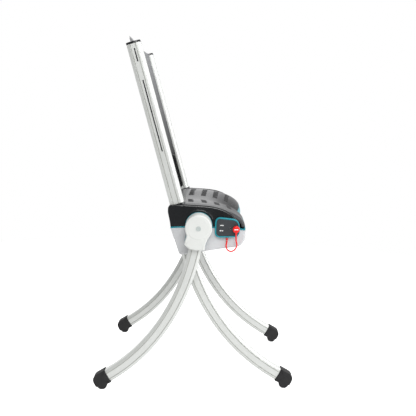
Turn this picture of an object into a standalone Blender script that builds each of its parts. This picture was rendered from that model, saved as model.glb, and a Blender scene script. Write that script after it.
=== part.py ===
"""Mobile lifting chair: a motor-driven seat on four curved legs with a two-part backrest.

Frame: metres, +Z up, floor at z = 0. The chair faces -Y and is centred on X = 0.
Side outlines are drawn as (forward, up) pairs, where forward is -Y.
The drive: a gear motor turns a pinion, which turns a gear on the cross shaft. The shaft
carries both hubs and the rear legs. The front legs plug into the seat's frame, and each
half of the backrest plugs into a socket at the back corner of the seat.
"""
import math

import bmesh
import bpy
from mathutils import Matrix, Vector

# ---- driving dimensions (metres, degrees) ----
GAP = 0.0003                      # clearance between touching pieces
AXIS_UP = 0.5551                  # height of the hub axis, which is at forward = 0
BODY_HALF = 0.2740                # half width of the seat body
WALL = 0.0035                     # plastic shell wall
TRIM_HEIGHT = 0.0050              # coloured band between the dark and the pale shell
SEAT_FRONT = 0.1546               # forward end of the seat
SEAT_REAR = -0.0940               # rear end of the seat
PAD_TOP = 0.6230                  # top of the seat pad
PAD_THICK = 0.0120                # seat pad thickness
PAD_ROLL = -0.0300                # where the seat starts to roll over to its front
PAD_HALF = 0.2620                 # seat pad half width

LEAN = math.radians(16.6)         # backrest lean from the vertical
POST_BASE = (-0.0750, 0.6225)     # post centre line where it leaves the seat (forward, up)
POST_LENGTH = 0.5417              # post length above the seat
POST_DEPTH = 0.0470               # post size front to back
POST_IN, POST_OUT = 0.2225, 0.2660
SOCKET_DEPTH = 0.0800             # post length held inside the seat
SOCKET_WALL = 0.0027

LEG_DEPTH = 0.0380                # leg section in the plane of its bend
LEG_WIDTH = 0.0360                # leg section across
LEG_WALL = 0.0028
FRONT_LEG_X = 0.2480              # leg centre, distance from the middle plane
REAR_LEG_X = 0.3105
SHAFT_RADIUS = 0.0125
HUB_RADIUS = 0.0450
HUB_INNER, HUB_OUTER = 0.2845, 0.3450
PANEL_DISH = 0.0300               # how far the back panels are hollowed at the middle
PANEL_RISE = 0.0500               # how far their top edge rises at the middle
SEAM_UP, SEAM_DROP = 0.1950, 0.0560  # seam between the panels: at the middle, and its drop

GEAR_RADIUS = 0.0430
PINION_RADIUS = 0.0220
PINION_FORWARD = 0.0660           # pinion axis ahead of the cross shaft

for leftover in list(bpy.data.objects):
    bpy.data.objects.remove(leftover, do_unlink=True)

PARTS = bpy.data.collections.new("lifting_chair")
CUTTERS = bpy.data.collections.new("cutters")
bpy.context.scene.collection.children.link(PARTS)
bpy.context.scene.collection.children.link(CUTTERS)


# ---- materials ----
def material(name, color, roughness, metallic=0.0):
    """A Principled material; color is linear RGB."""
    made = bpy.data.materials.new(name)
    made.use_nodes = True
    shader = made.node_tree.nodes["Principled BSDF"]
    shader.inputs["Base Color"].default_value = (*color, 1.0)
    shader.inputs["Roughness"].default_value = roughness
    shader.inputs["Metallic"].default_value = metallic
    made.diffuse_color = (*color, 1.0)
    return made


ALUMINIUM = material("satin_aluminium", (0.62, 0.64, 0.62), 0.35, 1.0)
STEEL = material("machined_steel", (0.45, 0.46, 0.47), 0.30, 1.0)
CAST = material("cast_aluminium", (0.50, 0.51, 0.52), 0.50, 1.0)
SHELL_GREY = material("pale_plastic", (0.66, 0.66, 0.66), 0.40)
HUB_WHITE = material("off_white_plastic", (0.74, 0.76, 0.74), 0.35)
CAP_GREY = material("grey_plastic", (0.42, 0.46, 0.45), 0.40)
DARK = material("dark_plastic", (0.010, 0.014, 0.017), 0.35)
PANEL_DARK = material("panel_dark", (0.025, 0.029, 0.033), 0.45)
TURQUOISE = material("turquoise_plastic", (0.0, 0.32, 0.41), 0.35)
PAD_GREY = material("pad_foam", (0.27, 0.275, 0.285), 0.65)
BACK_GREY = material("back_plastic", (0.045, 0.045, 0.048), 0.40)
RUBBER = material("black_rubber", (0.020, 0.020, 0.022), 0.70)
RED = material("red_plastic", (0.95, 0.010, 0.006), 0.35)
GREEN_BOARD = material("circuit_board", (0.02, 0.16, 0.07), 0.45)
BATTERY_BLUE = material("battery_wrap", (0.02, 0.06, 0.20), 0.40)


# ---- helpers ----
def to_part(obj, name, skin):
    """Names an object, gives it its material and moves it to the parts collection."""
    obj.name = name
    obj.data.name = name
    obj.data.materials.clear()
    obj.data.materials.append(skin)
    for collection in list(obj.users_collection):
        collection.objects.unlink(obj)
    PARTS.objects.link(obj)
    return obj


def to_cutter(obj, name="cutter"):
    """Turns an object into a hidden cutter."""
    obj.name = name
    for collection in list(obj.users_collection):
        collection.objects.unlink(obj)
    CUTTERS.objects.link(obj)
    obj.display_type = "WIRE"
    obj.hide_render = True
    return obj


def add_boolean(obj, other, operation):
    """Adds an exact Boolean modifier and returns the object."""
    step = obj.modifiers.new(operation.lower(), "BOOLEAN")
    step.operation = operation
    step.object = other
    step.solver = "EXACT"
    return obj


def add_bevel(obj, width, segments=2, angle=40.0):
    """Rounds the edges that are sharper than the angle."""
    step = obj.modifiers.new("rounding", "BEVEL")
    step.width = width
    step.segments = segments
    step.limit_method = "ANGLE"
    step.angle_limit = math.radians(angle)
    return obj


def mesh_object(name, build):
    """A new object whose mesh is filled by build(bm)."""
    shell = bmesh.new()
    build(shell)
    bmesh.ops.recalc_face_normals(shell, faces=shell.faces)
    data = bpy.data.meshes.new(name)
    shell.to_mesh(data)
    shell.free()
    obj = bpy.data.objects.new(name, data)
    bpy.context.scene.collection.objects.link(obj)
    return obj


def prism(name, outline, x_from, x_to):
    """A flat side outline, a list of (forward, up), as thick as x_from to x_to."""
    curve = bpy.data.curves.new(name, "CURVE")
    curve.dimensions = "2D"
    curve.fill_mode = "BOTH"
    curve.extrude = abs(x_to - x_from) / 2
    line = curve.splines.new("POLY")
    line.points.add(len(outline) - 1)
    for point, (forward, up) in zip(line.points, outline):
        point.co = (forward, up, 0.0, 1.0)
    line.use_cyclic_u = True
    holder = bpy.data.objects.new(name, curve)
    bpy.context.scene.collection.objects.link(holder)
    middle = (x_from + x_to) / 2
    # local x points forward (-Y), local y up, local z along -X
    turn = Matrix(((0, 0, -1), (-1, 0, 0), (0, 1, 0))).to_4x4()
    holder.matrix_world = Matrix.Translation((middle, 0, 0)) @ turn
    return as_mesh(holder)


def as_mesh(holder):
    """Replaces a curve object with a welded mesh in world coordinates."""
    bpy.context.view_layer.update()
    graph = bpy.context.evaluated_depsgraph_get()
    data = bpy.data.meshes.new_from_object(holder.evaluated_get(graph))
    shell = bmesh.new()
    shell.from_mesh(data)
    bmesh.ops.transform(shell, matrix=holder.matrix_world, verts=shell.verts)
    bmesh.ops.remove_doubles(shell, verts=shell.verts, dist=0.00001)
    bmesh.ops.recalc_face_normals(shell, faces=shell.faces)
    shell.to_mesh(data)
    shell.free()
    obj = bpy.data.objects.new(holder.name, data)
    bpy.context.scene.collection.objects.link(obj)
    bpy.data.objects.remove(holder, do_unlink=True)
    return obj


def box(name, x, forward, up, tilt=0.0, centre=None):
    """A box between (low, high) pairs; tilt turns it about X, backwards from the vertical."""
    def build(shell):
        bmesh.ops.create_cube(shell, size=1.0)
        size = (x[1] - x[0], forward[1] - forward[0], up[1] - up[0])
        bmesh.ops.scale(shell, vec=size, verts=shell.verts)
        middle = Vector(((x[0] + x[1]) / 2, -(forward[0] + forward[1]) / 2, (up[0] + up[1]) / 2))
        pivot = Vector((0.0, -centre[0], centre[1])) if centre else Vector()
        turn = Matrix.Translation(pivot) @ Matrix.Rotation(-tilt, 4, "X")
        bmesh.ops.transform(shell, matrix=turn @ Matrix.Translation(middle), verts=shell.verts)
    return mesh_object(name, build)


def disc(name, radius, x_from, x_to, forward, up, sides=32, end_radius=None):
    """A cylinder, or a cone, with its axis along X."""
    def build(shell):
        far = radius if end_radius is None else end_radius
        turn = Matrix.Rotation(math.radians(90), 4, "Y")
        place = Matrix.Translation(((x_from + x_to) / 2, -forward, up))
        bmesh.ops.create_cone(shell, cap_ends=True, segments=sides, radius1=radius, radius2=far,
                              depth=x_to - x_from, matrix=place @ turn)
    return mesh_object(name, build)


def post_pin(name, radius, low, high, x, forward, sides=16, end_radius=None):
    """An upright cylinder or cone between two heights."""
    def build(shell):
        far = radius if end_radius is None else end_radius
        place = Matrix.Translation((x, -forward, (low + high) / 2))
        bmesh.ops.create_cone(shell, cap_ends=True, segments=sides, radius1=radius, radius2=far,
                              depth=high - low, matrix=place)
    return mesh_object(name, build)


def span(side, near, far):
    """The (low, high) X range of a piece that lies between two distances on one side."""
    return (min(side * near, side * far), max(side * near, side * far))


def arc(centre, radius, start, end, steps):
    """Points on an arc, angles in degrees from forward towards up."""
    points = []
    for index in range(steps + 1):
        angle = math.radians(start + (end - start) * index / steps)
        points.append((centre[0] + radius * math.cos(angle), centre[1] + radius * math.sin(angle)))
    return points


def rounded(corners, steps=4):
    """A closed outline with round corners; each corner is (forward, up, radius)."""
    points = []
    count = len(corners)
    for index, (forward, up, radius) in enumerate(corners):
        here = Vector((forward, up))
        before = (Vector(corners[index - 1][:2]) - here).normalized()
        after = (Vector(corners[(index + 1) % count][:2]) - here).normalized()
        half = before.angle(after) / 2
        reach = radius / math.tan(half)
        for step in range(steps + 1):
            share = step / steps
            start, end = here + before * reach, here + after * reach
            bend = start * (1 - share) ** 2 + here * 2 * share * (1 - share) + end * share ** 2
            points.append((bend.x, bend.y))
    return points


def inset(outline, amount):
    """Moves each point of an outline inwards, square to the line between its neighbours."""
    count = len(outline)
    area = sum(outline[i - 1][0] * outline[i][1] - outline[i][0] * outline[i - 1][1]
               for i in range(count))
    turn = 1.0 if area > 0 else -1.0
    moved = []
    for index, point in enumerate(outline):
        before, after = outline[index - 1], outline[(index + 1) % count]
        line = Vector((after[0] - before[0], after[1] - before[1])).normalized()
        moved.append((point[0] - line.y * amount * turn, point[1] + line.x * amount * turn))
    return moved


def loft(name, rows):
    """A closed solid through rows of points; each row is a closed loop of (x, forward, up)."""
    def build(shell):
        rings = [[shell.verts.new((x, -forward, up)) for x, forward, up in row] for row in rows]
        for first, second in zip(rings, rings[1:]):
            for index in range(len(first)):
                after = (index + 1) % len(first)
                shell.faces.new((first[index], first[after], second[after], second[index]))
        shell.faces.new(rings[0])
        shell.faces.new(rings[-1])
    return mesh_object(name, build)


def post_frame(along, across):
    """A point (forward, up) from its place along the post and ahead of its centre line."""
    forward = POST_BASE[0] - along * math.sin(LEAN) + across * math.cos(LEAN)
    up = POST_BASE[1] + along * math.cos(LEAN) + across * math.sin(LEAN)
    return forward, up


def post_block(low, high, back, front):
    """The side outline of a block in the post's own frame."""
    return [post_frame(low, back), post_frame(low, front),
            post_frame(high, front), post_frame(high, back)]


def side_name(side):
    """The seated person's right is -X."""
    return "right" if side < 0 else "left"


# ---- legs ----
class LegPath:
    """A leg's centre line: its angle from the vertical grows with the length run,
    angle(s) = start + bend_top * s + (bend_foot - bend_top) * s * s / (2 * length)."""

    def __init__(self, direction, top, angle, bend_top, bend_foot, length):
        self.direction = direction
        self.top = top
        self.angle = math.radians(angle)
        self.bend_top = bend_top
        self.bend_foot = bend_foot
        self.length = length

    def heading(self, run):
        """Angle from straight down, in radians."""
        growth = (self.bend_foot - self.bend_top) * run * run / (2 * self.length)
        return self.angle + self.bend_top * run + growth

    def points(self, run_to, count):
        """Evenly spaced points (forward, up) from the top."""
        fine = 40
        step = run_to / ((count - 1) * fine)
        forward, up = self.top
        found = [(forward, up)]
        for index in range((count - 1) * fine):
            heading = self.heading((index + 0.5) * step)
            forward += self.direction * math.sin(heading) * step
            up -= math.cos(heading) * step
            if (index + 1) % fine == 0:
                found.append((forward, up))
        return found


REAR_PATH = LegPath(-1, (-0.0040, 0.5120), 9.0, 1.10, 1.95, 0.5630)
FRONT_PATH = LegPath(1, (-0.0465, 0.5120), 10.6, 1.36, 1.68, 0.5920)


def leg_solid(name, path, x_middle, grow=0.0, run_to=None, count=14, wall=0.0):
    """A swept leg of rectangular section with clipped corners; wall > 0 makes it a tube."""
    points = path.points(run_to or path.length, count)
    rows = []
    half_x = LEG_WIDTH / 2 + grow
    half_d = LEG_DEPTH / 2 + grow
    clip = 0.006

    def section(index, shrink):
        heading = path.heading((run_to or path.length) * index / (count - 1))
        square = Vector((math.cos(heading), path.direction * math.sin(heading)))
        wide, deep = half_x - shrink, half_d - shrink
        cut = max(clip - shrink * 0.6, 0.002)
        corners = [(-wide, -deep + cut), (-wide + cut, -deep), (wide - cut, -deep),
                   (wide, -deep + cut), (wide, deep - cut), (wide - cut, deep),
                   (-wide + cut, deep), (-wide, deep - cut)]
        forward, up = points[index]
        return [(x_middle + a, forward + square.x * b, up + square.y * b) for a, b in corners]

    for index in range(count):
        rows.append(section(index, 0.0))
    if wall == 0.0:
        return loft(name, rows)

    def build(shell):
        outer = [[shell.verts.new((x, -f, u)) for x, f, u in section(i, 0.0)]
                 for i in range(count)]
        inner = [[shell.verts.new((x, -f, u)) for x, f, u in section(i, wall)]
                 for i in range(count)]
        for rings in (outer, inner):
            for first, second in zip(rings, rings[1:]):
                for k in range(8):
                    m = (k + 1) % 8
                    shell.faces.new((first[k], first[m], second[m], second[k]))
        for end in (0, -1):
            for k in range(8):
                m = (k + 1) % 8
                shell.faces.new((outer[end][k], outer[end][m], inner[end][m], inner[end][k]))
    return mesh_object(name, build)


def make_foot(name, path, x_middle):
    """A rubber boot on the leg's end, with a round pad whose flat meets the floor."""
    end = path.points(path.length, 30)[-1]
    heading = path.heading(path.length)
    tilt = path.direction * heading
    half = 0.0205
    boot = box(name, (x_middle - 0.0200, x_middle + 0.0200), (-0.0215, 0.0215),
               (-0.0440, -GAP), tilt=tilt, centre=end)
    add_bevel(boot, 0.009, 2, 60)
    plug = box("boot_plug", (x_middle - 0.011, x_middle + 0.011), (-0.011, 0.011),
               (-0.012, 0.022), tilt=tilt, centre=end)
    add_boolean(boot, to_cutter(plug), "UNION")
    pad_forward = path.direction * 0.3065
    pad = disc("boot_pad", 0.0170, x_middle - half, x_middle + half, pad_forward, 0.0165, 24)
    add_boolean(boot, to_cutter(pad), "UNION")
    floor = box("floor_cut", (x_middle - 0.05, x_middle + 0.05),
                (pad_forward - 0.06, pad_forward + 0.06), (-0.05, 0.0))
    add_boolean(boot, to_cutter(floor), "DIFFERENCE")
    return to_part(boot, name, RUBBER)


def make_legs(side):
    """Both legs and boots of one side."""
    label = side_name(side)
    rear_x, front_x = side * REAR_LEG_X, side * FRONT_LEG_X
    to_part(leg_solid("rear_leg_" + label, REAR_PATH, rear_x, wall=LEG_WALL),
            "rear_leg_" + label, ALUMINIUM)
    to_part(leg_solid("front_leg_" + label, FRONT_PATH, front_x, wall=LEG_WALL),
            "front_leg_" + label, ALUMINIUM)
    make_foot("rear_foot_" + label, REAR_PATH, rear_x)
    make_foot("front_foot_" + label, FRONT_PATH, front_x)


# ---- hubs and cross shaft ----
def hub_outline(radius, neck=0.0):
    """Round hub with a neck that leans back over the leg; neck moves the neck outwards."""
    low = AXIS_UP
    points = arc((0.0, AXIS_UP), radius, -32, 212, 22)
    points += [(-0.0440 - neck, low - 0.0450), (-0.0450 - neck, low - 0.0535 - neck)]
    points += [(-0.0315, low - 0.0657 - neck), (-0.0142, low - 0.0712 - neck)]
    points += [(0.0170, low - 0.0716 - neck), (0.0215 + neck, low - 0.0690 - neck)]
    points += [(0.0245 + neck, low - 0.0500), (0.0300 + neck, low - 0.0330)]
    return points


def make_hub(side):
    """Cast core, sealing plate, cover and centre cap of one hub."""
    label = side_name(side)
    core = disc("hub_core_" + label, 0.0300, *span(side, 0.2800, 0.3380), 0.0, AXIS_UP, 32)
    block = leg_solid("leg_grip", REAR_PATH, side * REAR_LEG_X, grow=0.0032,
                      run_to=0.0260, count=3)
    neck = box("grip_neck", span(side, 0.2895, 0.3315), (-0.020, 0.018), (0.5085, 0.5300))
    add_boolean(core, to_cutter(block), "UNION")
    add_boolean(core, to_cutter(neck), "UNION")
    pocket = leg_solid("leg_pocket", REAR_PATH, side * REAR_LEG_X, grow=2 * GAP,
                       run_to=0.0800, count=4)
    add_boolean(core, to_cutter(pocket), "DIFFERENCE")
    bore = disc("shaft_bore", SHAFT_RADIUS + GAP, *span(side, 0.27, 0.3330), 0.0, AXIS_UP, 24)
    add_boolean(core, to_cutter(bore), "DIFFERENCE")
    to_part(core, "hub_core_" + label, CAST)

    seal = prism("hub_seal_" + label, hub_outline(HUB_RADIUS + 0.0012, 0.0012),
                 *span(side, 0.2768, 0.2796))
    hole = disc("seal_hole", SHAFT_RADIUS + 2 * GAP, *span(side, 0.27, 0.29), 0.0, AXIS_UP, 24)
    add_boolean(seal, to_cutter(hole), "DIFFERENCE")
    to_part(seal, "hub_seal_" + label, TURQUOISE)

    cover = prism("hub_cover_" + label, hub_outline(HUB_RADIUS), *span(side, 0.2800, HUB_OUTER))
    add_bevel(cover, 0.0030, 2, 60)
    raised = disc("raised_disc", 0.0350, *span(side, 0.3430, HUB_OUTER + 0.0006),
                  0.0, AXIS_UP, 40)
    add_boolean(cover, to_cutter(raised), "UNION")
    hollow = prism("cover_hollow", inset(hub_outline(HUB_RADIUS), 0.0030),
                   *span(side, 0.2700, HUB_OUTER - 0.0030))
    add_boolean(cover, to_cutter(hollow), "DIFFERENCE")
    leg_way = box("leg_way", span(side, REAR_LEG_X - 0.0220, REAR_LEG_X + 0.0220),
                  (-0.0330, 0.0150), (0.4700, 0.5000))
    add_boolean(cover, to_cutter(leg_way), "DIFFERENCE")
    cap_hole = disc("cap_hole", 0.0052, *span(side, 0.33, 0.36), 0.0, AXIS_UP, 20)
    add_boolean(cover, to_cutter(cap_hole), "DIFFERENCE")
    to_part(cover, "hub_cover_" + label, HUB_WHITE)

    cap = disc("hub_cap_" + label, 0.0080, *span(side, HUB_OUTER + 0.0009, HUB_OUTER + 0.0021),
               0.0, AXIS_UP, 24)
    stem = disc("cap_stem", 0.0046, *span(side, 0.3384, HUB_OUTER + 0.0015), 0.0, AXIS_UP, 16)
    add_boolean(cap, to_cutter(stem), "UNION")
    to_part(cap, "hub_cap_" + label, CAP_GREY)


def make_shaft():
    """Cross shaft with its bearings and drive gear."""
    to_part(disc("cross_shaft", SHAFT_RADIUS, -0.3325, 0.3325, 0.0, AXIS_UP, 24),
            "cross_shaft", STEEL)
    gear = disc("drive_gear", GEAR_RADIUS, 0.0000, 0.0200, 0.0, AXIS_UP, 48)
    bore = disc("gear_bore", SHAFT_RADIUS + GAP, -0.01, 0.03, 0.0, AXIS_UP, 24)
    add_boolean(gear, to_cutter(bore), "DIFFERENCE")
    to_part(gear, "drive_gear", STEEL)
    for side in (-1, 1):
        ring = disc("shaft_bearing_" + side_name(side), 0.0210, *span(side, 0.2110, 0.2230),
                    0.0, AXIS_UP, 28)
        bore = disc("bearing_bore", SHAFT_RADIUS + GAP, *span(side, 0.20, 0.24),
                    0.0, AXIS_UP, 24)
        add_boolean(ring, to_cutter(bore), "DIFFERENCE")
        to_part(ring, "shaft_bearing_" + side_name(side), STEEL)


# ---- seat body ----
def trim_up(forward):
    """Height of the middle of the coloured band: a shallow arch."""
    return 0.5500 - 0.0050 * ((forward - 0.0300) / 0.1250) ** 2


def trim_line(forwards, shift):
    """Points along the band at each forward place."""
    return [(forward, trim_up(forward) + shift) for forward in forwards]


BAND_PLACES = [SEAT_REAR + (SEAT_FRONT - SEAT_REAR) * k / 8 for k in range(9)]


def shell_outline(wall=0.0):
    """Side outline of the pale lower shell, or of its hollow, which is open at the top."""
    front, rear = SEAT_FRONT - wall, SEAT_REAR + wall
    rim = trim_line([rear + (front - rear) * k / 8 for k in range(9)], -TRIM_HEIGHT / 2)
    top = rim
    if wall:
        top = [rim[0], (rear, rim[0][1] + 0.03), (front, rim[-1][1] + 0.03), rim[-1]]
    steps = 5
    ring = rounded([(*rim[0], 0.0), (*rim[-1], 0.0), (front, 0.4900 + wall, 0.040),
                    (0.0800, 0.4785 + wall, 0.060), (-0.0620 + wall, 0.4520 + wall, 0.012)],
                   steps)
    # the outline runs along the rim, down the front, back under the seat and up the rear
    return top + ring[2 * (steps + 1):]


GROMMET_RADIUS = 0.0187


def side_hole(side, radius):
    """A cutter through the body's side, round the shaft."""
    return to_cutter(disc("side_hole", radius, *span(side, 0.24, 0.30), 0.0, AXIS_UP, 24))


def make_lower_shell():
    """The pale tub under the seat."""
    shell = prism("lower_shell", shell_outline(), -BODY_HALF, BODY_HALF)
    hollow = prism("tub_hollow", shell_outline(WALL), -BODY_HALF + WALL, BODY_HALF - WALL)
    add_boolean(shell, to_cutter(hollow), "DIFFERENCE")
    for side in (-1, 1):
        slot = leg_solid("leg_slot", FRONT_PATH, side * FRONT_LEG_X, grow=0.0008,
                         run_to=0.1200, count=5)
        add_boolean(shell, to_cutter(slot), "DIFFERENCE")
        add_boolean(shell, side_hole(side, GROMMET_RADIUS + GAP), "DIFFERENCE")
    for forward in SCREW_PLACES:
        hole = post_pin("screw_hole", 0.0050, 0.44, 0.51, 0.0, forward, 12)
        add_boolean(shell, to_cutter(hole), "DIFFERENCE")
    to_part(shell, "lower_shell", SHELL_GREY)


def pad_point(x, angle, depth):
    """A point (forward, up) on the seat's rounded front, a superellipse, at a depth below it."""
    base_up = 0.5495
    start = PAD_ROLL
    valley = 0.0260 * math.exp(-(x / 0.075) ** 2) * math.sin(angle) ** 2
    reach = SEAT_FRONT - start - depth
    rise = PAD_TOP - base_up - depth
    power = 2 / 2.15
    forward = start + reach * math.sin(angle) ** power - valley * 0.55
    up = base_up + rise * math.cos(angle) ** power - valley * math.cos(angle)
    return forward, up


def front_angle(x):
    """Where the pad ends on the front: lower near the sides, where the band is narrow."""
    wide = min(max((PAD_HALF - 0.004 - abs(x)) / 0.040, 0.0), 1.0)
    return math.radians(88.0 - 14.0 * wide * wide * (3 - 2 * wide))


PAD_STATIONS = [-0.262, -0.250, -0.238, -0.224, -0.19, -0.15, -0.11, -0.07, -0.035, 0.0,
                0.035, 0.07, 0.11, 0.15, 0.19, 0.224, 0.238, 0.250, 0.262]


def crown(x):
    """Height added across the seat: a low ridge under each thigh, a dish between them."""
    ridge = 0.0030 * math.exp(-((abs(x) - 0.17) / 0.07) ** 2)
    edge = 0.0040 * max(abs(x) - 0.238, 0.0) / 0.024
    return ridge - edge - 0.0090 * math.exp(-(x / 0.10) ** 2)


def make_pad():
    """The seat pad: flat at the rear, rolled over the front edge."""
    rows = []
    steps = 9
    for x in PAD_STATIONS:
        rise = crown(x)
        end = front_angle(x)
        rear_up = PAD_TOP - 0.004 + rise
        upper = [(x, SEAT_REAR, rear_up), (x, PAD_ROLL, PAD_TOP + rise)]
        lower = [(x, SEAT_REAR, rear_up - PAD_THICK), (x, PAD_ROLL, PAD_TOP + rise - PAD_THICK)]
        for step in range(steps + 1):
            angle = end * (0.02 + 0.98 * step / steps)
            for row, depth in ((upper, 0.0), (lower, PAD_THICK)):
                forward, up = pad_point(x, angle, depth)
                row.append((x, forward, up + rise * math.cos(angle)))
        rows.append(upper + lower[::-1])
    pad = loft("seat_pad", rows)
    for side in (-1, 1):
        corner = prism("post_corner", post_block(-0.10, 0.10, -0.06, POST_DEPTH / 2 + 0.0034),
                       *span(side, POST_IN - 0.0034, 0.30))
        add_boolean(pad, to_cutter(corner), "DIFFERENCE")
    to_part(pad, "seat_pad", PAD_GREY)


def make_trim_band():
    """The coloured band around the seat: narrow along the sides, taller between the thighs."""
    rows = []
    thick = 0.0040
    steps = 4
    for x in [-BODY_HALF + 0.0013] + PAD_STATIONS + [BODY_HALF - 0.0013]:
        start = front_angle(x) + math.radians(0.9)
        outer, inner = [], []
        for step in range(steps + 1):
            angle = start + (math.radians(90.0) - start) * step / steps
            for row, depth in ((outer, 0.0), (inner, thick)):
                forward, up = pad_point(x, angle, depth)
                row.append((x, forward, up + crown(x) * math.cos(angle)))
        foot_up = trim_up(SEAT_FRONT) - TRIM_HEIGHT / 2 + 2.5 * GAP
        outer.append((x, outer[-1][1], foot_up))
        inner.append((x, inner[-1][1], foot_up))
        rows.append(outer + inner[::-1])
    band = loft("trim_band", rows)
    places = BAND_PLACES[:-1] + [SEAT_FRONT - 0.0016]
    strip_line = (trim_line(places, TRIM_HEIGHT / 2)
                  + trim_line(places, -TRIM_HEIGHT / 2 + GAP)[::-1])
    for side in (-1, 1):
        strip = prism("side_strip", strip_line, *span(side, BODY_HALF - 0.0038, BODY_HALF))
        add_boolean(band, to_cutter(strip), "UNION")
        grommet = disc("grommet", GROMMET_RADIUS, *span(side, BODY_HALF - 0.0036, BODY_HALF),
                       0.0, AXIS_UP, 24)
        add_boolean(band, to_cutter(grommet), "UNION")
    shaft_way = disc("shaft_way", SHAFT_RADIUS + 0.0010, -0.30, 0.30, 0.0, AXIS_UP, 26)
    add_boolean(band, to_cutter(shaft_way), "DIFFERENCE")
    for step in band.modifiers:
        step.solver = "MANIFOLD"
    to_part(band, "trim_band", TURQUOISE)


def cover_outline():
    """Side outline of the dark side cover, above the band."""
    low_places = [0.1370 + (SEAT_REAR - 0.1370) * k / 8 for k in range(9)]
    low = trim_line(low_places, TRIM_HEIGHT / 2 + GAP)
    rear = [(-0.0985, 0.5700), (-0.1040, 0.5960), (-0.1040, 0.6110)]
    top = [(-0.0996, 0.6200), (-0.0496, 0.6245), (0.0017, 0.6226), (0.0348, 0.6201)]
    front = [(0.0680, 0.6148), (0.0947, 0.6047), (0.1151, 0.5903), (0.1289, 0.5741),
             (0.1362, 0.5576)]
    return low + rear + top + front


def make_side_cover(side):
    """A dark side cover with a raised arch over the hub."""
    label = side_name(side)
    cover = prism("side_cover_" + label, cover_outline(), *span(side, BODY_HALF - 0.0038,
                                                               BODY_HALF))
    outer = arc((0.0, AXIS_UP), 0.0520, 4, 176, 16)
    inner = arc((0.0, AXIS_UP), 0.0475, 176, 4, 16)
    arch = prism("arch", outer + inner, *span(side, BODY_HALF - 0.001, BODY_HALF + 0.0022))
    add_boolean(cover, to_cutter(arch), "UNION")
    add_boolean(cover, side_hole(side, GROMMET_RADIUS + GAP), "DIFFERENCE")
    to_part(cover, "side_cover_" + label, DARK)


def make_rear_cover():
    """The dark panel across the back of the seat."""
    outline = [(SEAT_REAR - 0.0010, 0.5485), (SEAT_REAR + 0.0025, 0.5485),
               (SEAT_REAR + 0.0005, 0.5980), (SEAT_REAR - 0.0060, 0.5980)]
    cover = prism("rear_cover", outline, -0.2185, 0.2185)
    to_part(cover, "rear_cover", DARK)


# ---- frame inside the seat ----
SCREW_PLACES = (0.1180, -0.0450)   # forward places of the shell screws


def make_frame():
    """Side plates and cross bars, which carry the shaft, the sockets and the covers."""
    plate = [(-0.0700, 0.4920), (-0.0560, 0.4710), (-0.0300, 0.4710), (0.0900, 0.4960),
             (0.1260, 0.5100), (0.1260, 0.5400), (0.0900, 0.5900), (0.0300, 0.6080),
             (-0.0780, 0.6040)]
    for side in (-1, 1):
        label = side_name(side)
        sheet = prism("frame_side_" + label, plate, *span(side, 0.2150, 0.2190))
        hole = disc("bearing_seat", 0.0213, *span(side, 0.20, 0.23), 0.0, AXIS_UP, 28)
        add_boolean(sheet, to_cutter(hole), "DIFFERENCE")
        to_part(sheet, "frame_side_" + label, CAST)
    for name, forward, up in (("front_crossbar", (0.1090, 0.1240), (0.5120, 0.5320)),
                              ("rear_crossbar", (-0.0560, -0.0360), (0.4740, 0.4900))):
        bar = box(name, (-0.2147, 0.2147), forward, up)
        to_part(bar, name, ALUMINIUM)


def make_sockets(side):
    """The post socket and the front leg socket of one side, fixed to the side plate."""
    label = side_name(side)
    half = POST_DEPTH / 2 + GAP + SOCKET_WALL
    post = prism("post_socket_" + label, post_block(-SOCKET_DEPTH - 0.004, -0.0060, -half, half),
                 *span(side, 0.2193, POST_OUT + GAP + SOCKET_WALL))
    room = prism("post_room", post_block(-SOCKET_DEPTH - GAP, 0.05,
                                         -POST_DEPTH / 2 - GAP, POST_DEPTH / 2 + GAP),
                 *span(side, POST_IN - GAP, POST_OUT + GAP))
    add_boolean(post, to_cutter(room), "DIFFERENCE")
    to_part(post, "post_socket_" + label, CAST)

    heading = FRONT_PATH.angle
    top_forward, top_up = FRONT_PATH.top
    leg = box("leg_socket_" + label, span(side, 0.2193, FRONT_LEG_X + 0.0212),
              (-0.0223, 0.0223), (-0.0440, 0.0070), tilt=heading, centre=(top_forward, top_up))
    room = leg_solid("leg_room", FRONT_PATH, side * FRONT_LEG_X, grow=2 * GAP,
                     run_to=0.1200, count=6)
    add_boolean(leg, to_cutter(room), "DIFFERENCE")
    to_part(leg, "leg_socket_" + label, CAST)


def make_inner_units():
    """Gear motor, pinion, battery and control board."""
    motor = disc("gear_motor", 0.0270, 0.0330, 0.1600, PINION_FORWARD, AXIS_UP, 32)
    to_part(motor, "gear_motor", STEEL)
    pinion = disc("drive_pinion", PINION_RADIUS, 0.0010, 0.0190, PINION_FORWARD, AXIS_UP, 24)
    spindle = disc("pinion_spindle", 0.0050, 0.0180, 0.0326, PINION_FORWARD, AXIS_UP, 16)
    add_boolean(pinion, to_cutter(spindle), "UNION")
    to_part(pinion, "drive_pinion", STEEL)
    to_part(add_bevel(box("battery_pack", (-0.1900, -0.0400), (0.0250, 0.1030),
                          (0.4980, 0.5550)), 0.004), "battery_pack", BATTERY_BLUE)
    to_part(box("control_board", (0.0500, 0.1900), (-0.0740, -0.0250), (0.5120, 0.5140)),
            "control_board", GREEN_BOARD)


def make_screws():
    """Two screws that hold the lower shell to the cross bars."""
    for name, forward, low, top in (("front_screw", SCREW_PLACES[0], 0.4935, 0.5117),
                                    ("rear_screw", SCREW_PLACES[1], 0.4590, 0.4737)):
        screw = post_pin(name, 0.0042, low, low + 0.0030, 0.0, forward, 16)
        shank = post_pin("screw_shank", 0.0020, low + 0.001, top, 0.0, forward, 12)
        add_boolean(screw, to_cutter(shank), "UNION")
        to_part(screw, name, STEEL)


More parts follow.
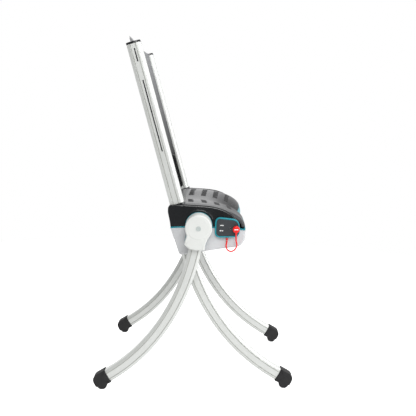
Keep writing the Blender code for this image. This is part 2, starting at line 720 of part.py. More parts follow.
# ---- backrest ----
def make_post(side):
    """Post with its cap and inlay strips."""
    label = side_name(side)
    inside, outside = POST_IN, POST_OUT
    middle = side * (inside + outside) / 2
    half_x = (outside - inside) / 2
    half_d = POST_DEPTH / 2
    cut = 0.0070

    def ring(along, shrink):
        wide, deep = half_x - shrink, half_d - shrink
        corner = max(cut - shrink * 0.6, 0.002)
        flat = [(-wide, -deep + corner), (-wide + corner, -deep), (wide - corner, -deep),
                (wide, -deep + corner), (wide, deep - corner), (wide - corner, deep),
                (-wide + corner, deep), (-wide, deep - corner)]
        return [(middle + a, *post_frame(along, b)) for a, b in flat]

    def build(shell):
        ends = (-SOCKET_DEPTH, POST_LENGTH)
        outer = [[shell.verts.new((x, -f, u)) for x, f, u in ring(t, 0.0)] for t in ends]
        inner = [[shell.verts.new((x, -f, u)) for x, f, u in ring(t, 0.0025)] for t in ends]
        for k in range(8):
            m = (k + 1) % 8
            shell.faces.new((outer[0][k], outer[0][m], outer[1][m], outer[1][k]))
            shell.faces.new((inner[0][k], inner[0][m], inner[1][m], inner[1][k]))
            for e in (0, 1):
                shell.faces.new((outer[e][k], outer[e][m], inner[e][m], inner[e][k]))
    post = mesh_object("post_" + label, build)
    groove = prism("inlay_groove", post_block(0.180, POST_LENGTH - 0.012, -0.0030, 0.0016),
                   *span(side, outside - 0.0012, outside + 0.01))
    add_boolean(post, to_cutter(groove), "DIFFERENCE")
    to_part(post, "post_" + label, ALUMINIUM)

    inlay = prism("post_inlay_" + label,
                  post_block(0.180 + GAP, POST_LENGTH - 0.012 - GAP,
                             -0.0030 + GAP, 0.0016 - GAP),
                  *span(side, outside - 0.0009, outside))
    to_part(inlay, "post_inlay_" + label, DARK)

    cap = prism("post_cap_" + label, post_block(POST_LENGTH + GAP, POST_LENGTH + 0.0052,
                                                -half_d, half_d), *span(side, inside, outside))
    plug = prism("cap_plug", post_block(POST_LENGTH - 0.016, POST_LENGTH + 0.001,
                                        -half_d + 0.009, half_d - 0.009),
                 *span(side, inside + 0.009, outside - 0.009))
    add_boolean(cap, to_cutter(plug), "UNION")
    to_part(cap, "post_cap_" + label, DARK)


def panel_across(x):
    """Front face of the back panel, ahead of the post's centre line: hollow to the middle."""
    return 0.0080 - PANEL_DISH * (1 - (abs(x) / POST_IN) ** 2)


def panel_top(x):
    """Top edge of the back panel along the post: it rises to the middle."""
    share = 1 - abs(x) / POST_IN
    return POST_LENGTH + 0.0060 + PANEL_RISE * math.sin(share * math.pi / 2) ** 1.3


def make_panels(side):
    """Upper and lower back panel of one half, thin curved shells along the post."""
    label = side_name(side)
    for name, skin, low, high, back, thick in (
            ("back_panel_", BACK_GREY, SEAM_UP + GAP, None, 0.0, 0.0050),
            ("lower_back_panel_", DARK, 0.0120, SEAM_UP, 0.0030, 0.0050)):
        rows = []
        count = 12
        for index in range(count):
            share = index / (count - 1)
            distance = 0.0025 + (POST_IN - GAP - 0.0025) * share
            slope = 2 * PANEL_DISH * distance / POST_IN ** 2
            lean = math.atan(slope)
            front = panel_across(distance) - back
            top = panel_top(distance) if high is None else high - SEAM_DROP * share
            base = low - (SEAM_DROP * share if high is None else 0.0)
            thin = thick / math.cos(lean)
            rows.append([(side * distance, *post_frame(base, front)),
                         (side * distance, *post_frame(top, front)),
                         (side * distance, *post_frame(top, front - thin)),
                         (side * distance, *post_frame(base, front - thin))])
        to_part(loft(name + label, rows), name + label, skin)


# ---- control panel, buttons, stop key and lanyard ----
PANEL_CORNERS = ((0.0535, 0.5870, 0.0150), (0.1335, 0.5800, 0.0215),
                 (0.1370, 0.5215, 0.0190), (0.0530, 0.5170, 0.0150))
BUTTONS = (("up_button", 0.0763, 0.5592, 0.0090, 0.0052),
           ("down_button", 0.0757, 0.5414, 0.0090, 0.0052))
KEY_PLACE = (0.1235, 0.5484)
RIM = 0.0048


def oval(forward, up, half_wide, half_high, steps=20):
    """A stadium-like outline: a superellipse of power 2.6."""
    points = []
    for index in range(steps):
        angle = 2 * math.pi * index / steps
        c, s = math.cos(angle), math.sin(angle)
        points.append((forward + half_wide * math.copysign(abs(c) ** 0.77, c),
                       up + half_high * math.copysign(abs(s) ** 0.77, s)))
    return points


def make_control_panel():
    """The control panel on the right side, with its rim, keys and stop key socket."""
    outline = rounded(PANEL_CORNERS, 5)
    rim = prism("panel_rim", outline, -0.2866, -0.2743)
    hole = prism("rim_hole", inset(outline, RIM), -0.30, -0.26)
    add_boolean(rim, to_cutter(hole), "DIFFERENCE")
    to_part(rim, "panel_rim", TURQUOISE)
    face = prism("control_panel", inset(outline, RIM + GAP), -0.2850, -0.2743)
    for _, forward, up, wide, high in BUTTONS:
        room = prism("button_room", oval(forward, up, wide + GAP, high + GAP), -0.30, -0.2806)
        add_boolean(face, to_cutter(room), "DIFFERENCE")
    socket = disc("key_socket", 0.0045, -0.30, -0.2760, *KEY_PLACE, 16)
    add_boolean(face, to_cutter(socket), "DIFFERENCE")
    to_part(face, "control_panel", PANEL_DARK)
    for name, forward, up, wide, high in BUTTONS:
        key = prism(name, oval(forward, up, wide, high), -0.2856, -0.2822)
        to_part(key, name, PANEL_DARK)


def make_left_panel():
    """The matching panel on the left side, with the round flap of the charging socket."""
    outline = rounded(PANEL_CORNERS, 5)
    rim = prism("left_panel_rim", outline, 0.2743, 0.2866)
    hole = prism("rim_hole", inset(outline, RIM), 0.26, 0.30)
    add_boolean(rim, to_cutter(hole), "DIFFERENCE")
    to_part(rim, "left_panel_rim", TURQUOISE)
    face = prism("left_panel", inset(outline, RIM + GAP), 0.2743, 0.2850)
    flap = disc("socket_flap", 0.0100, 0.2840, 0.2858, 0.0950, 0.5500, 28)
    add_boolean(face, to_cutter(flap), "UNION")
    to_part(face, "left_panel", PANEL_DARK)


KEY_X = -0.2935                    # lanyard exit under the stop key
ANCHOR_X = -0.2810                 # lanyard anchor on the shell's side
LANYARD_RADIUS = 0.0021
LANYARD_ROUTE = ((0.0942, 0.5090), (0.0944, 0.5035), (0.0926, 0.4950), (0.0932, 0.4852),
                 (0.0990, 0.4765), (0.1089, 0.4734), (0.1187, 0.4778), (0.1257, 0.4880),
                 (0.1270, 0.4985), (0.1246, 0.5090), (0.1237, 0.5190), (0.1235, 0.5240))


def make_stop_key():
    """Red pull-out stop key: a round head, a pin in the panel and a tapered tail."""
    forward, up = KEY_PLACE
    key = disc("stop_key", 0.0115, -0.2975, -0.2870, forward, up, 32)
    add_bevel(key, 0.0015, 2, 60)
    pin = disc("key_pin", 0.0040, -0.2885, -0.2765, forward, up, 16)
    tail = post_pin("key_tail", 0.0030, 0.5243, 0.5430, KEY_X, forward, 12, 0.0050)
    add_boolean(key, to_cutter(pin), "UNION")
    add_boolean(key, to_cutter(tail), "UNION")
    to_part(key, "stop_key", RED)
    anchor = post_pin("lanyard_anchor", 0.0026, 0.5093, 0.5160, ANCHOR_X, 0.0942, 12, 0.0048)
    foot = disc("anchor_foot", 0.0022, ANCHOR_X - 0.0005, -0.2743, 0.0942, 0.5130, 12)
    add_boolean(anchor, to_cutter(foot), "UNION")
    to_part(anchor, "lanyard_anchor", RED)


def smooth_route(points, per_leg):
    """A Catmull-Rom curve through the points."""
    ends = [points[0] * 2 - points[1]] + points + [points[-1] * 2 - points[-2]]
    line = []
    for a, b, c, d in zip(ends, ends[1:], ends[2:], ends[3:]):
        for step in range(per_leg):
            t = step / per_leg
            line.append(0.5 * (2 * b + (c - a) * t + (2 * a - 5 * b + 4 * c - d) * t * t
                               + (3 * b - a - 3 * c + d) * t ** 3))
    line.append(points[-1])
    return line


def make_lanyard():
    """The short cord from its anchor under the panel to the stop key's tail."""
    count = len(LANYARD_ROUTE)
    points = []
    for index, (forward, up) in enumerate(LANYARD_ROUTE):
        share = index / (count - 1)
        x = ANCHOR_X + (KEY_X - ANCHOR_X) * share * share * (3 - 2 * share)
        points.append(Vector((x, -forward, up)))
    curve = bpy.data.curves.new("stop_lanyard", "CURVE")
    curve.dimensions = "3D"
    curve.bevel_depth = LANYARD_RADIUS
    curve.bevel_resolution = 2
    curve.use_fill_caps = True
    line = curve.splines.new("POLY")
    route = smooth_route(points, 2)
    line.points.add(len(route) - 1)
    for point, place in zip(line.points, route):
        point.co = (*place, 1.0)
    holder = bpy.data.objects.new("stop_lanyard", curve)
    bpy.context.scene.collection.objects.link(holder)
    to_part(as_mesh(holder), "stop_lanyard", RED)


# ---- the whole chair ----
for SIDE in (-1, 1):
    make_legs(SIDE)
    make_hub(SIDE)
    make_side_cover(SIDE)
    make_sockets(SIDE)
    make_post(SIDE)
    make_panels(SIDE)
make_shaft()
make_lower_shell()
make_pad()
make_trim_band()
make_rear_cover()
make_frame()
make_inner_units()
make_screws()
make_control_panel()
make_left_panel()
make_stop_key()
make_lanyard()
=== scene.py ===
"""Mobile lifting chair: motor-driven hubs on curved legs, a dished seat and a split backrest.

The chair faces -Y. Side outlines are (forward, up) pairs, where forward is -Y; the seated
person's right is -X. Every shape is a numpy grid or a profile carried along a path.
"""
import math

import bmesh
import bpy
import numpy as np
from mathutils import Matrix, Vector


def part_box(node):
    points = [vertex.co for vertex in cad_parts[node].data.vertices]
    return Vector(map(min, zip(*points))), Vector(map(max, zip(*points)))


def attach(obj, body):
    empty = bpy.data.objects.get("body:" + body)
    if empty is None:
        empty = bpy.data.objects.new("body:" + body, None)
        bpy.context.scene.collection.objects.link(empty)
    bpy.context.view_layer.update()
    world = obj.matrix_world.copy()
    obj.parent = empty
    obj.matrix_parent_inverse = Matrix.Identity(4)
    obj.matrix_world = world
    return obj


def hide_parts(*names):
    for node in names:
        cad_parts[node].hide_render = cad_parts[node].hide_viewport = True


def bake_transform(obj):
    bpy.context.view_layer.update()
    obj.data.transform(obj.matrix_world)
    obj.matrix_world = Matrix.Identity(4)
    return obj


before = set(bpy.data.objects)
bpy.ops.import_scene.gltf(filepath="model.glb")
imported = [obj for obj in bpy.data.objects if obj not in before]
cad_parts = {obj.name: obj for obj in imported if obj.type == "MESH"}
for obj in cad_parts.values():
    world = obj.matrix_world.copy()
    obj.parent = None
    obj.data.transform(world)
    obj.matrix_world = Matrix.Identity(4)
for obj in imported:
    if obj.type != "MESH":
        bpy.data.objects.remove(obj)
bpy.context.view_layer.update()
SIDES = ((-1, "right"), (1, "left"))


def middle(node):
    """The centre of a node's box."""
    low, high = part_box(node)
    return [(a + b) / 2 for a, b in zip(low, high)]


# ---- dimensions, from the frame where it has them ----
AXIS_UP = middle("cross_shaft")[2]                 # hub axis, at forward 0
HUB_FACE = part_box("hub_cover_left")[1][0]          # outer face of the raised disc
HUB_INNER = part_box("hub_cover_left")[0][0]
BODY_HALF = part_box("lower_shell")[1][0]
SEAT_FRONT = -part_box("trim_band")[0][1]
SEAT_REAR = -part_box("seat_pad")[1][1]
PAD_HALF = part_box("seat_pad")[1][0]
PAD_TOP = 0.6230
PAD_ROLL = -0.0300
PAD_THICK = 0.0120
TRIM_HEIGHT = 0.0050
LEAN = math.radians(16.6)
POST_BASE = (-0.0750, 0.6225)
POST_LENGTH = 0.5417
POST_DEPTH = 0.0470
POST_IN, POST_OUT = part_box("post_left")[0][0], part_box("post_left")[1][0]
SOCKET_DEPTH = 0.0800
LEG_DEPTH, LEG_WIDTH = 0.0380, 0.0360
FRONT_LEG_X = middle("front_leg_left")[0]
REAR_LEG_X = middle("rear_leg_left")[0]
HUB_RADIUS = 0.0437
LEG_SKIN = 0.0019                                  # the legs' depth beyond the tube, each face
FOOT_FORWARD = 0.3065
FOOT_RADIUS = 0.0170
FOOT_HALF, FOOT_LONG = 0.0230, 0.0530


def put(name, data):
    """An object of the scene that holds the data."""
    made = bpy.data.objects.new(name, data)
    bpy.context.scene.collection.objects.link(made)
    return made


def turned(right, top, back, place):
    """A placement from three axes and a position."""
    turn = np.eye(4)
    turn[:3, 0], turn[:3, 1], turn[:3, 2], turn[:3, 3] = right, top, back, place
    return Matrix(turn.tolist())


# ---- camera: first, so that cords can be judged against it ----
def make_camera():
    """A long lens at the chair's right side, slightly above the seat and looking down."""
    place = np.array([-2.5650, -0.0293, 0.9165])
    yaw, pitch, roll = (math.radians(a) for a in (0.024, 7.517, -1.855))
    sight = np.array([math.cos(yaw), math.sin(yaw), 0.0])
    across = np.array([math.sin(yaw), -math.cos(yaw), 0.0])
    upward = sight * math.sin(pitch) + np.array([0, 0, math.cos(pitch)])
    sight = sight * math.cos(pitch) - np.array([0, 0, math.sin(pitch)])
    right = across * math.cos(roll) - upward * math.sin(roll)
    top = across * math.sin(roll) + upward * math.cos(roll)
    data = bpy.data.cameras.new("side_camera")
    data.lens = 60.58
    data.sensor_width = 36.0
    camera = put("side_camera", data)
    camera.matrix_world = turned(right, top, -sight, place)
    bpy.context.scene.camera = camera


make_camera()


# ---- materials ----
def linear(code):
    """An sRGB hex colour as linear RGBA."""
    values = [int(code[i:i + 2], 16) / 255 for i in (1, 3, 5)]
    return [v / 12.92 if v <= 0.04045 else ((v + 0.055) / 1.055) ** 2.4 for v in values] + [1.0]


def add(tree, kind, settings=None, **links):
    """Adds a node. settings are sockets (by name or number) and attributes; links are sockets
    fed by (node, output) pairs, with spaces written as underscores, or i and a number."""
    node = tree.nodes.new(kind)
    for key, value in (settings or {}).items():
        if isinstance(key, int) or key in node.inputs:
            node.inputs[key].default_value = value
        else:
            setattr(node, key, value)
    for key, (source, output) in links.items():
        place = int(key[1:]) if key[1:].isdigit() else key.replace("_", " ")
        tree.links.new(source.outputs[output], node.inputs[place])
    return node


def start_material(name, color, rough, metallic=0.0, **sockets):
    """A material with its shader; sockets set constants on the shader."""
    made = bpy.data.materials.new(name)
    made.use_nodes = True
    tree = made.node_tree
    shader = tree.nodes["Principled BSDF"]
    shader.inputs["Base Color"].default_value = linear(color)
    shader.inputs["Roughness"].default_value = rough
    shader.inputs["Metallic"].default_value = metallic
    for key, value in sockets.items():
        shader.inputs[key.replace("_", " ")].default_value = value
    place = add(tree, "ShaderNodeTexCoord")
    return made, tree, shader, place


def ramp(tree, source, output, low, high, from_low=0.3, from_high=0.7):
    """Maps a pattern to a range of values."""
    return add(tree, "ShaderNodeMapRange",
               {"From Min": from_low, "From Max": from_high, "To Min": low, "To Max": high},
               Value=(source, output))


def mix_result(mix):
    """The colour output of a Mix node."""
    return next(s for s in mix.outputs if s.type == "RGBA")


def blend_to(tree, colour, code, factor):
    """A colour, hex or from a Mix node, turned towards a hex colour by a factor."""
    turned = add(tree, "ShaderNodeMix", {"data_type": "RGBA"})
    colours = [s for s in turned.inputs if s.type == "RGBA"]
    colours[1].default_value = linear(code)
    if isinstance(colour, str):
        colours[0].default_value = linear(colour)
    else:
        tree.links.new(mix_result(colour), colours[0])
    tree.links.new(factor[0].outputs[factor[1]], turned.inputs["Factor"])
    return turned


def noise(tree, place, scale, detail, output="Object"):
    """Fractal noise over a set of coordinates."""
    return add(tree, "ShaderNodeTexNoise", {"Scale": scale, "Detail": detail},
               Vector=(place, output))


def attribute(tree, name):
    """A value stored on the mesh."""
    return add(tree, "ShaderNodeAttribute", {"attribute_name": name})


def dress(tree, shader, mix, rough, relief=None):
    """Feeds the shader with a Mix node's colour, roughness as ramp's arguments, and relief as
    (source, output, strength, distance)."""
    tree.links.new(mix_result(mix), shader.inputs["Base Color"])
    tree.links.new(ramp(tree, *rough).outputs["Result"], shader.inputs["Roughness"])
    if relief is not None:
        source, output, strength, distance = relief
        bump = add(tree, "ShaderNodeBump", {"Strength": strength, "Distance": distance},
                   Height=(source, output))
        tree.links.new(bump.outputs["Normal"], shader.inputs["Normal"])


def moulded_plastic(name, low, high, rough, grain_mm, depth_mm, ior=1.53, painted_top_sheen=None):
    """Injection-moulded plastic: spark-eroded grain of grain_mm, faint flow mottling. The last
    argument, where given, is (colour, up_from, up_to): a painted sheen that pales the moulding
    towards its top."""
    made, tree, shader, place = start_material(name, high, rough, IOR=ior)
    cloud = noise(tree, place, 14.0, 3.0)
    mix = blend_to(tree, low, high, (cloud, "Fac"))
    # painted sheen: the colour pales towards the top of the piece
    if painted_top_sheen is not None:
        parts = add(tree, "ShaderNodeSeparateXYZ", Vector=(place, "Object"))
        rise = ramp(tree, parts, "Z", 0.0, 1.0, painted_top_sheen[1], painted_top_sheen[2])
        mix = blend_to(tree, mix, painted_top_sheen[0], (rise, "Result"))
    grain = noise(tree, place, 1000.0 / grain_mm, 2.0)
    dress(tree, shader, mix, (cloud, "Fac", rough - 0.05, rough + 0.05),
          (grain, "Fac", 0.5, depth_mm / 1000.0))
    return made


def extruded_aluminium(name, low, high, groove_shade, rough):
    """Clear-anodised aluminium extrusion: die lines along its length, a soft pearl sheen, and
    painted shade in the bottom of its grooves, where the groove attribute is 1.
    The lines run along the piece's own path, which its UV map's first axis crosses."""
    made, tree, shader, place = start_material(name, high, rough, metallic=0.35)
    uv = add(tree, "ShaderNodeUVMap", {"uv_map": "run"})
    stretch = add(tree, "ShaderNodeMapping", {"Scale": (900.0, 6.0, 1.0)}, Vector=(uv, "UV"))
    lines = noise(tree, stretch, 1.0, 3.0, "Vector")
    cloud = noise(tree, place, 9.0, 2.0)
    mix = blend_to(tree, low, high, (cloud, "Fac"))
    # painted shade: the bottoms of the grooves are turned towards a darker colour
    mix = blend_to(tree, mix, groove_shade, (attribute(tree, "groove"), "Fac"))
    dress(tree, shader, mix, (lines, "Fac", rough - 0.05, rough + 0.06),
          (lines, "Fac", 0.25, 0.00003))
    return made


def turned_steel(name, low, high, rough):
    """Turned and ground steel: fine rings about the shaft's axis."""
    made, tree, shader, place = start_material(name, high, rough, metallic=1.0)
    stretch = add(tree, "ShaderNodeMapping", {"Scale": (1600.0, 60.0, 60.0)},
                  Vector=(place, "Object"))
    rings = noise(tree, stretch, 1.0, 2.0, "Vector")
    dress(tree, shader, blend_to(tree, low, high, (rings, "Fac")),
          (rings, "Fac", rough - 0.08, rough + 0.08))
    return made


def cast_metal(name, low, high, rough):
    """Pressure die-cast aluminium: a matte, slightly pebbled skin with 1.5 mm mottling."""
    made, tree, shader, place = start_material(name, high, rough, metallic=1.0)
    skin = noise(tree, place, 650.0, 4.0)
    dress(tree, shader, blend_to(tree, low, high, (skin, "Fac")),
          (skin, "Fac", rough - 0.08, rough + 0.1), (skin, "Fac", 0.6, 0.0001))
    return made


def foam_skin(name):
    """Integral-skin foam: grey leather-like grain of about 1 mm; darker ribbed grip strips
    where the strip attribute is 1, and painted shade darkening the front where the valley
    attribute is."""
    made, tree, shader, place = start_material(name, "#46474A", 0.32, IOR=1.55)
    strip, shade = attribute(tree, "strip"), attribute(tree, "valley")
    base = blend_to(tree, "#3F4043", "#4B4C4F", (noise(tree, place, 16.0, 3.0), "Fac"))
    base = blend_to(tree, base, "#222224", (strip, "Fac"))
    # painted shade: the front of the pad darkens to #161618 where the valley attribute is
    base = blend_to(tree, base, "#161618", (shade, "Fac"))
    grain = add(tree, "ShaderNodeTexVoronoi", {"Scale": 900.0}, Vector=(place, "Object"))
    bump = add(tree, "ShaderNodeBump", {"Strength": 0.35, "Distance": 0.0003},
               Height=(grain, "Distance"))
    ribs = add(tree, "ShaderNodeTexWave", {"Scale": 500.0, "bands_direction": "Y"},
               Vector=(place, "Object"))
    height = add(tree, "ShaderNodeMath", {"operation": "MULTIPLY"},
                 i0=(ribs, "Fac"), i1=(strip, "Fac"))
    ribbed = add(tree, "ShaderNodeBump", {"Strength": 0.7, "Distance": 0.0005},
                 Height=(height, "Value"), Normal=(bump, "Normal"))
    tree.links.new(ribbed.outputs["Normal"], shader.inputs["Normal"])
    matt = add(tree, "ShaderNodeMath", {"operation": "MAXIMUM"}, i0=(strip, "Fac"),
               i1=(shade, "Fac"))
    dress(tree, shader, base, (matt, "Value", 0.31, 0.70, 0.0, 1.0))
    return made


def boot_rubber(name):
    """Moulded EPDM rubber: matte, greyish black, dusted in the pores of a 0.8 mm grain."""
    made, tree, shader, place = start_material(name, "#2A2A2C", 0.75, IOR=1.52)
    dust = noise(tree, place, 60.0, 5.0)
    grain = noise(tree, place, 1200.0, 2.0)
    dress(tree, shader, blend_to(tree, "#111112", "#1E1E20", (dust, "Fac")),
          (dust, "Fac", 0.66, 0.82), (grain, "Fac", 0.5, 0.0002))
    return made


# B2B4AE is the painted shade in the bottoms of the grooves
ANODISED = extruded_aluminium("anodised_extrusion", "#CFD1CD", "#DBDDDB", "#B2B4AE", 0.36)
STEEL = turned_steel("turned_steel", "#9A9CA0", "#C4C6C9", 0.30)
CAST = cast_metal("die_cast_aluminium", "#A9ABAD", "#C9CBCD", 0.50)
PALE_ABS = moulded_plastic("pale_grey_abs", "#C2C3C5", "#CCCDCF", 0.42, 0.5, 0.03)
HUB_ABS = moulded_plastic("off_white_abs", "#D6D8D5", "#DDDFDC", 0.34, 0.6, 0.015)
CAP_ABS = moulded_plastic("grey_cap_abs", "#AEB6B4", "#BAC2C0", 0.40, 0.4, 0.02)
DARK_ABS = moulded_plastic("dark_satin_abs", "#04070A", "#080C10", 0.24, 0.7, 0.005)
GLOSS_ABS = moulded_plastic("polished_dark_abs", "#15191B", "#1C2022", 0.16, 0.7, 0.002)
KEYPAD = moulded_plastic("keypad_membrane", "#282B2E", "#303438", 0.48, 0.25, 0.03)
TURQUOISE = moulded_plastic("turquoise_tpe", "#00808F", "#008F9C", 0.36, 0.6, 0.015)
# the upper back panels pale to #8E8F91 towards their top: a painted sheen
BACK_PP = moulded_plastic("backrest_polypropylene", "#0E0E10", "#151517", 0.55, 0.9, 0.008,
                          1.30, ("#8E8F91", 0.74, 1.20))
LOW_PP = moulded_plastic("lower_back_polypropylene", "#040506", "#07090A", 0.80, 0.9, 0.008, 1.20)
RED_PP = moulded_plastic("red_polypropylene", "#E00A06", "#EE120C", 0.36, 0.5, 0.015)
WHITE_INK = moulded_plastic("white_print", "#F0F2F2", "#FAFAFA", 0.50, 0.3, 0.005)
SOFT_GREY_INK = moulded_plastic("grey_print", "#8C9194", "#9AA0A3", 0.50, 0.3, 0.005)
BOARD = moulded_plastic("solder_mask_green", "#135F3C", "#1A7048", 0.35, 2.0, 0.02)
WRAP = moulded_plastic("battery_shrink_wrap", "#1C3A6E", "#26487F", 0.30, 3.0, 0.06)
RUBBER = boot_rubber("epdm_rubber")
FOAM = foam_skin("integral_skin_foam")


# ---- mesh helpers ----
def closed_mesh(name, points, faces):
    """Mesh data with outward normals and no doubled points."""
    data = bpy.data.meshes.new(name)
    data.from_pydata(np.asarray(points, float).tolist(), [], faces)
    shell = bmesh.new()
    shell.from_mesh(data)
    bmesh.ops.remove_doubles(shell, verts=shell.verts, dist=0.000002)
    bmesh.ops.recalc_face_normals(shell, faces=shell.faces)
    shell.to_mesh(data)
    shell.free()
    return data


def finish_mesh(name, points, faces, skin, body, node=None, smooth_angle=34.0):
    """Turns points and faces into a piece that rides on a body, or on none, and that stands
    for a node where one is given."""
    data = closed_mesh(name, points, faces)
    data.shade_smooth()
    data.set_sharp_from_angle(angle=math.radians(smooth_angle))
    data.materials.append(skin)
    piece = put(name, data)
    if body is not None:
        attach(piece, body)
    if node is not None:
        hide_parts(node)
    return piece


def grid_faces(rows, columns, wrap_rows=False):
    """Quads between closed rings of points; the last ring may meet the first."""
    down = rows if wrap_rows else rows - 1
    i, j = np.meshgrid(np.arange(down), np.arange(columns), indexing="ij")
    n, m = (i + 1) % rows, (j + 1) % columns
    quads = np.stack([i * columns + j, i * columns + m, n * columns + m, n * columns + j], -1)
    return quads.reshape(-1, 4).tolist()


def lofted(name, rings, skin, body, node=None, smooth_angle=34.0):
    """A closed surface through rings of points, rings[k, i] = (x, y, z); each end is closed by
    a fan to the middle of its ring."""
    rings = np.asarray(rings, float)
    rows, columns = rings.shape[:2]
    points = rings.reshape(-1, 3)
    faces = grid_faces(rows, columns)
    for end in (0, rows - 1):
        points = np.vstack([points, rings[end].mean(0)])
        top = len(points) - 1
        first = end * columns
        faces += [[first + i, first + (i + 1) % columns, top] for i in range(columns)]
    return finish_mesh(name, points, faces, skin, body, node, smooth_angle)


def hollow(name, rings, skin, node=None):
    """A closed surface on the seat that goes all the way round: the last ring meets the first."""
    rings = np.array(rings)
    return finish_mesh(name, rings.reshape(-1, 3), grid_faces(*rings.shape[:2], wrap_rows=True),
                       skin, "seat", node)


def in_space(x, outline):
    """Side points (forward, up) at a place across, as (x, y, z)."""
    outline = np.asarray(outline, float)
    x = np.broadcast_to(np.asarray(x, float), outline.shape[:-1])
    return np.stack([x, -outline[..., 0], outline[..., 1]], -1)


def around(count):
    """Angles evenly round a full turn."""
    return np.linspace(0, 2 * math.pi, count + 1)[:-1]


def eased(share):
    """A share from 0 to 1, slow at both ends."""
    return share * share * (3 - 2 * share)


def least(*grids):
    """The smallest of several grids, point by point."""
    return np.minimum.reduce(np.broadcast_arrays(*grids))


def near_edge(distance, width):
    """1 beyond a width from an edge, down to 0 at it and past it."""
    return np.clip(distance / width, 0, 1)


def plate_rings(x, outer, inner):
    """Rings across a plate: out along its outer face and back along its inner one; each face
    is a grid of (forward, up)."""
    return in_space(x, np.concatenate([outer, inner[:, ::-1]], 1))


def arc(centre, radius, start, end, steps):
    """Points on an arc, angles in degrees from forward towards up."""
    angle = np.radians(np.linspace(start, end, steps))
    return np.stack([centre[0] + radius * np.cos(angle), centre[1] + radius * np.sin(angle)], -1)


def disc_outline(centre, radius, count):
    """A circle of count points."""
    return arc(centre, radius, 0, 360, count + 1)[:-1]


def bar_outline(forward, up, half_wide, half_high, radius, steps):
    """A small bar with round corners, about its middle."""
    return rounded([(forward + half_wide * a, up + half_high * b, radius)
                    for a, b in ((-1, -1), (1, -1), (1, 1), (-1, 1))], steps)


def even(outline, count):
    """A closed outline resampled at even steps of its length."""
    loop = np.vstack([outline, outline[:1]])
    steps = np.hypot(*np.diff(loop, axis=0).T)
    run = np.concatenate([[0], np.cumsum(steps)])
    wanted = np.linspace(0, run[-1], count, endpoint=False)
    return np.stack([np.interp(wanted, run, loop[:, k]) for k in (0, 1)], -1)


def soften(outline, times):
    """A closed outline with its corners eased: each point moves to its neighbours' mean."""
    for _ in range(times):
        outline = (np.roll(outline, 1, 0) + 2 * outline + np.roll(outline, -1, 0)) / 4
    return outline


def inward(outline):
    """Unit vectors that point into a closed outline, square to it."""
    line = np.roll(outline, -1, 0) - np.roll(outline, 1, 0)
    line /= np.linalg.norm(line, axis=1, keepdims=True)
    area = np.sum(outline[:, 0] * np.roll(outline[:, 1], -1)
                  - np.roll(outline[:, 0], -1) * outline[:, 1])
    return np.stack([-line[:, 1], line[:, 0]], -1) * math.copysign(1.0, area)


def round_over(x_from, x_to, radius, steps=6):
    """Levels (x, inset) of an edge that turns a quarter circle into the face at x_to."""
    turn = np.linspace(0, math.pi / 2, steps)
    sign = math.copysign(1.0, x_to - x_from)
    return [(x_to - sign * radius * (1 - math.sin(a)), radius * (1 - math.cos(a))) for a in turn]


def pressed(name, outline, levels, skin, body, node=None, weight=None):
    """A plate-like solid: the outline at each level (x, inset), each point moved inwards by
    inset times its own weight, and the two ends closed."""
    outline = np.asarray(outline, float)
    square = inward(outline)
    square = square if weight is None else square * weight[:, None]
    rings = [in_space(x, outline + square * inset) for x, inset in levels]
    return lofted(name, rings, skin, body, node)


def rounded(corners, steps=8):
    """A closed outline with round corners; each corner is (forward, up, radius)."""
    points = []
    count = len(corners)
    for index, (forward, up, radius) in enumerate(corners):
        here = np.array([forward, up])
        before = np.array(corners[index - 1][:2]) - here
        after = np.array(corners[(index + 1) % count][:2]) - here
        before, after = before / np.linalg.norm(before), after / np.linalg.norm(after)
        half = math.acos(np.clip(before @ after, -1, 1)) / 2
        reach = radius / math.tan(half)
        for t in np.linspace(0, 1, steps):
            points.append((here + before * reach) * (1 - t) ** 2
                          + here * 2 * t * (1 - t) + (here + after * reach) * t * t)
    return np.array(points)


def paint(piece, points, values):
    """Stores values, one for each point given, on the vertices that lie there."""
    data = piece.data
    found = np.empty(len(data.vertices) * 3)
    data.vertices.foreach_get("co", found)
    keys = {tuple(row): i for i, row in enumerate(np.round(points, 6).tolist())}
    index = np.array([keys.get(tuple(row), -1)
                      for row in np.round(found.reshape(-1, 3), 6).tolist()])
    for name, value in values.items():
        layer = data.attributes.new(name, "FLOAT", "POINT")
        layer.data.foreach_set("value", np.where(index >= 0, value[index], 0.0))


def swept(name, middles, squares, x_middle, profile, skin, body, node):
    """A profile of (across, square) points carried along a side path: each point is the path's
    point plus its square direction times the profile's second value. The UV map 'run' holds
    the profile's own length and the path's length, in metres."""
    middles, squares = np.asarray(middles), np.asarray(squares)
    side = middles[:, None, :] + squares[:, None, :] * profile[None, :, 1:2]
    rings = in_space(x_middle + profile[None, :, 0], side)
    piece = lofted(name, rings, skin, body, node, 30.0)
    add_run_map(piece, middles, x_middle)
    # the groove attribute marks the bottoms of the grooves, where the material paints shade
    widest = np.abs(profile[:, 0]).max()
    groove_shade_mask = ((np.abs(profile[:, 0]) < widest - 0.0010)
            & (np.abs(profile[:, 1]) < np.abs(profile[:, 1]).max() * 0.60)).astype(float)
    paint(piece, rings.reshape(-1, 3), {"groove": np.tile(groove_shade_mask, len(middles))})
    return piece


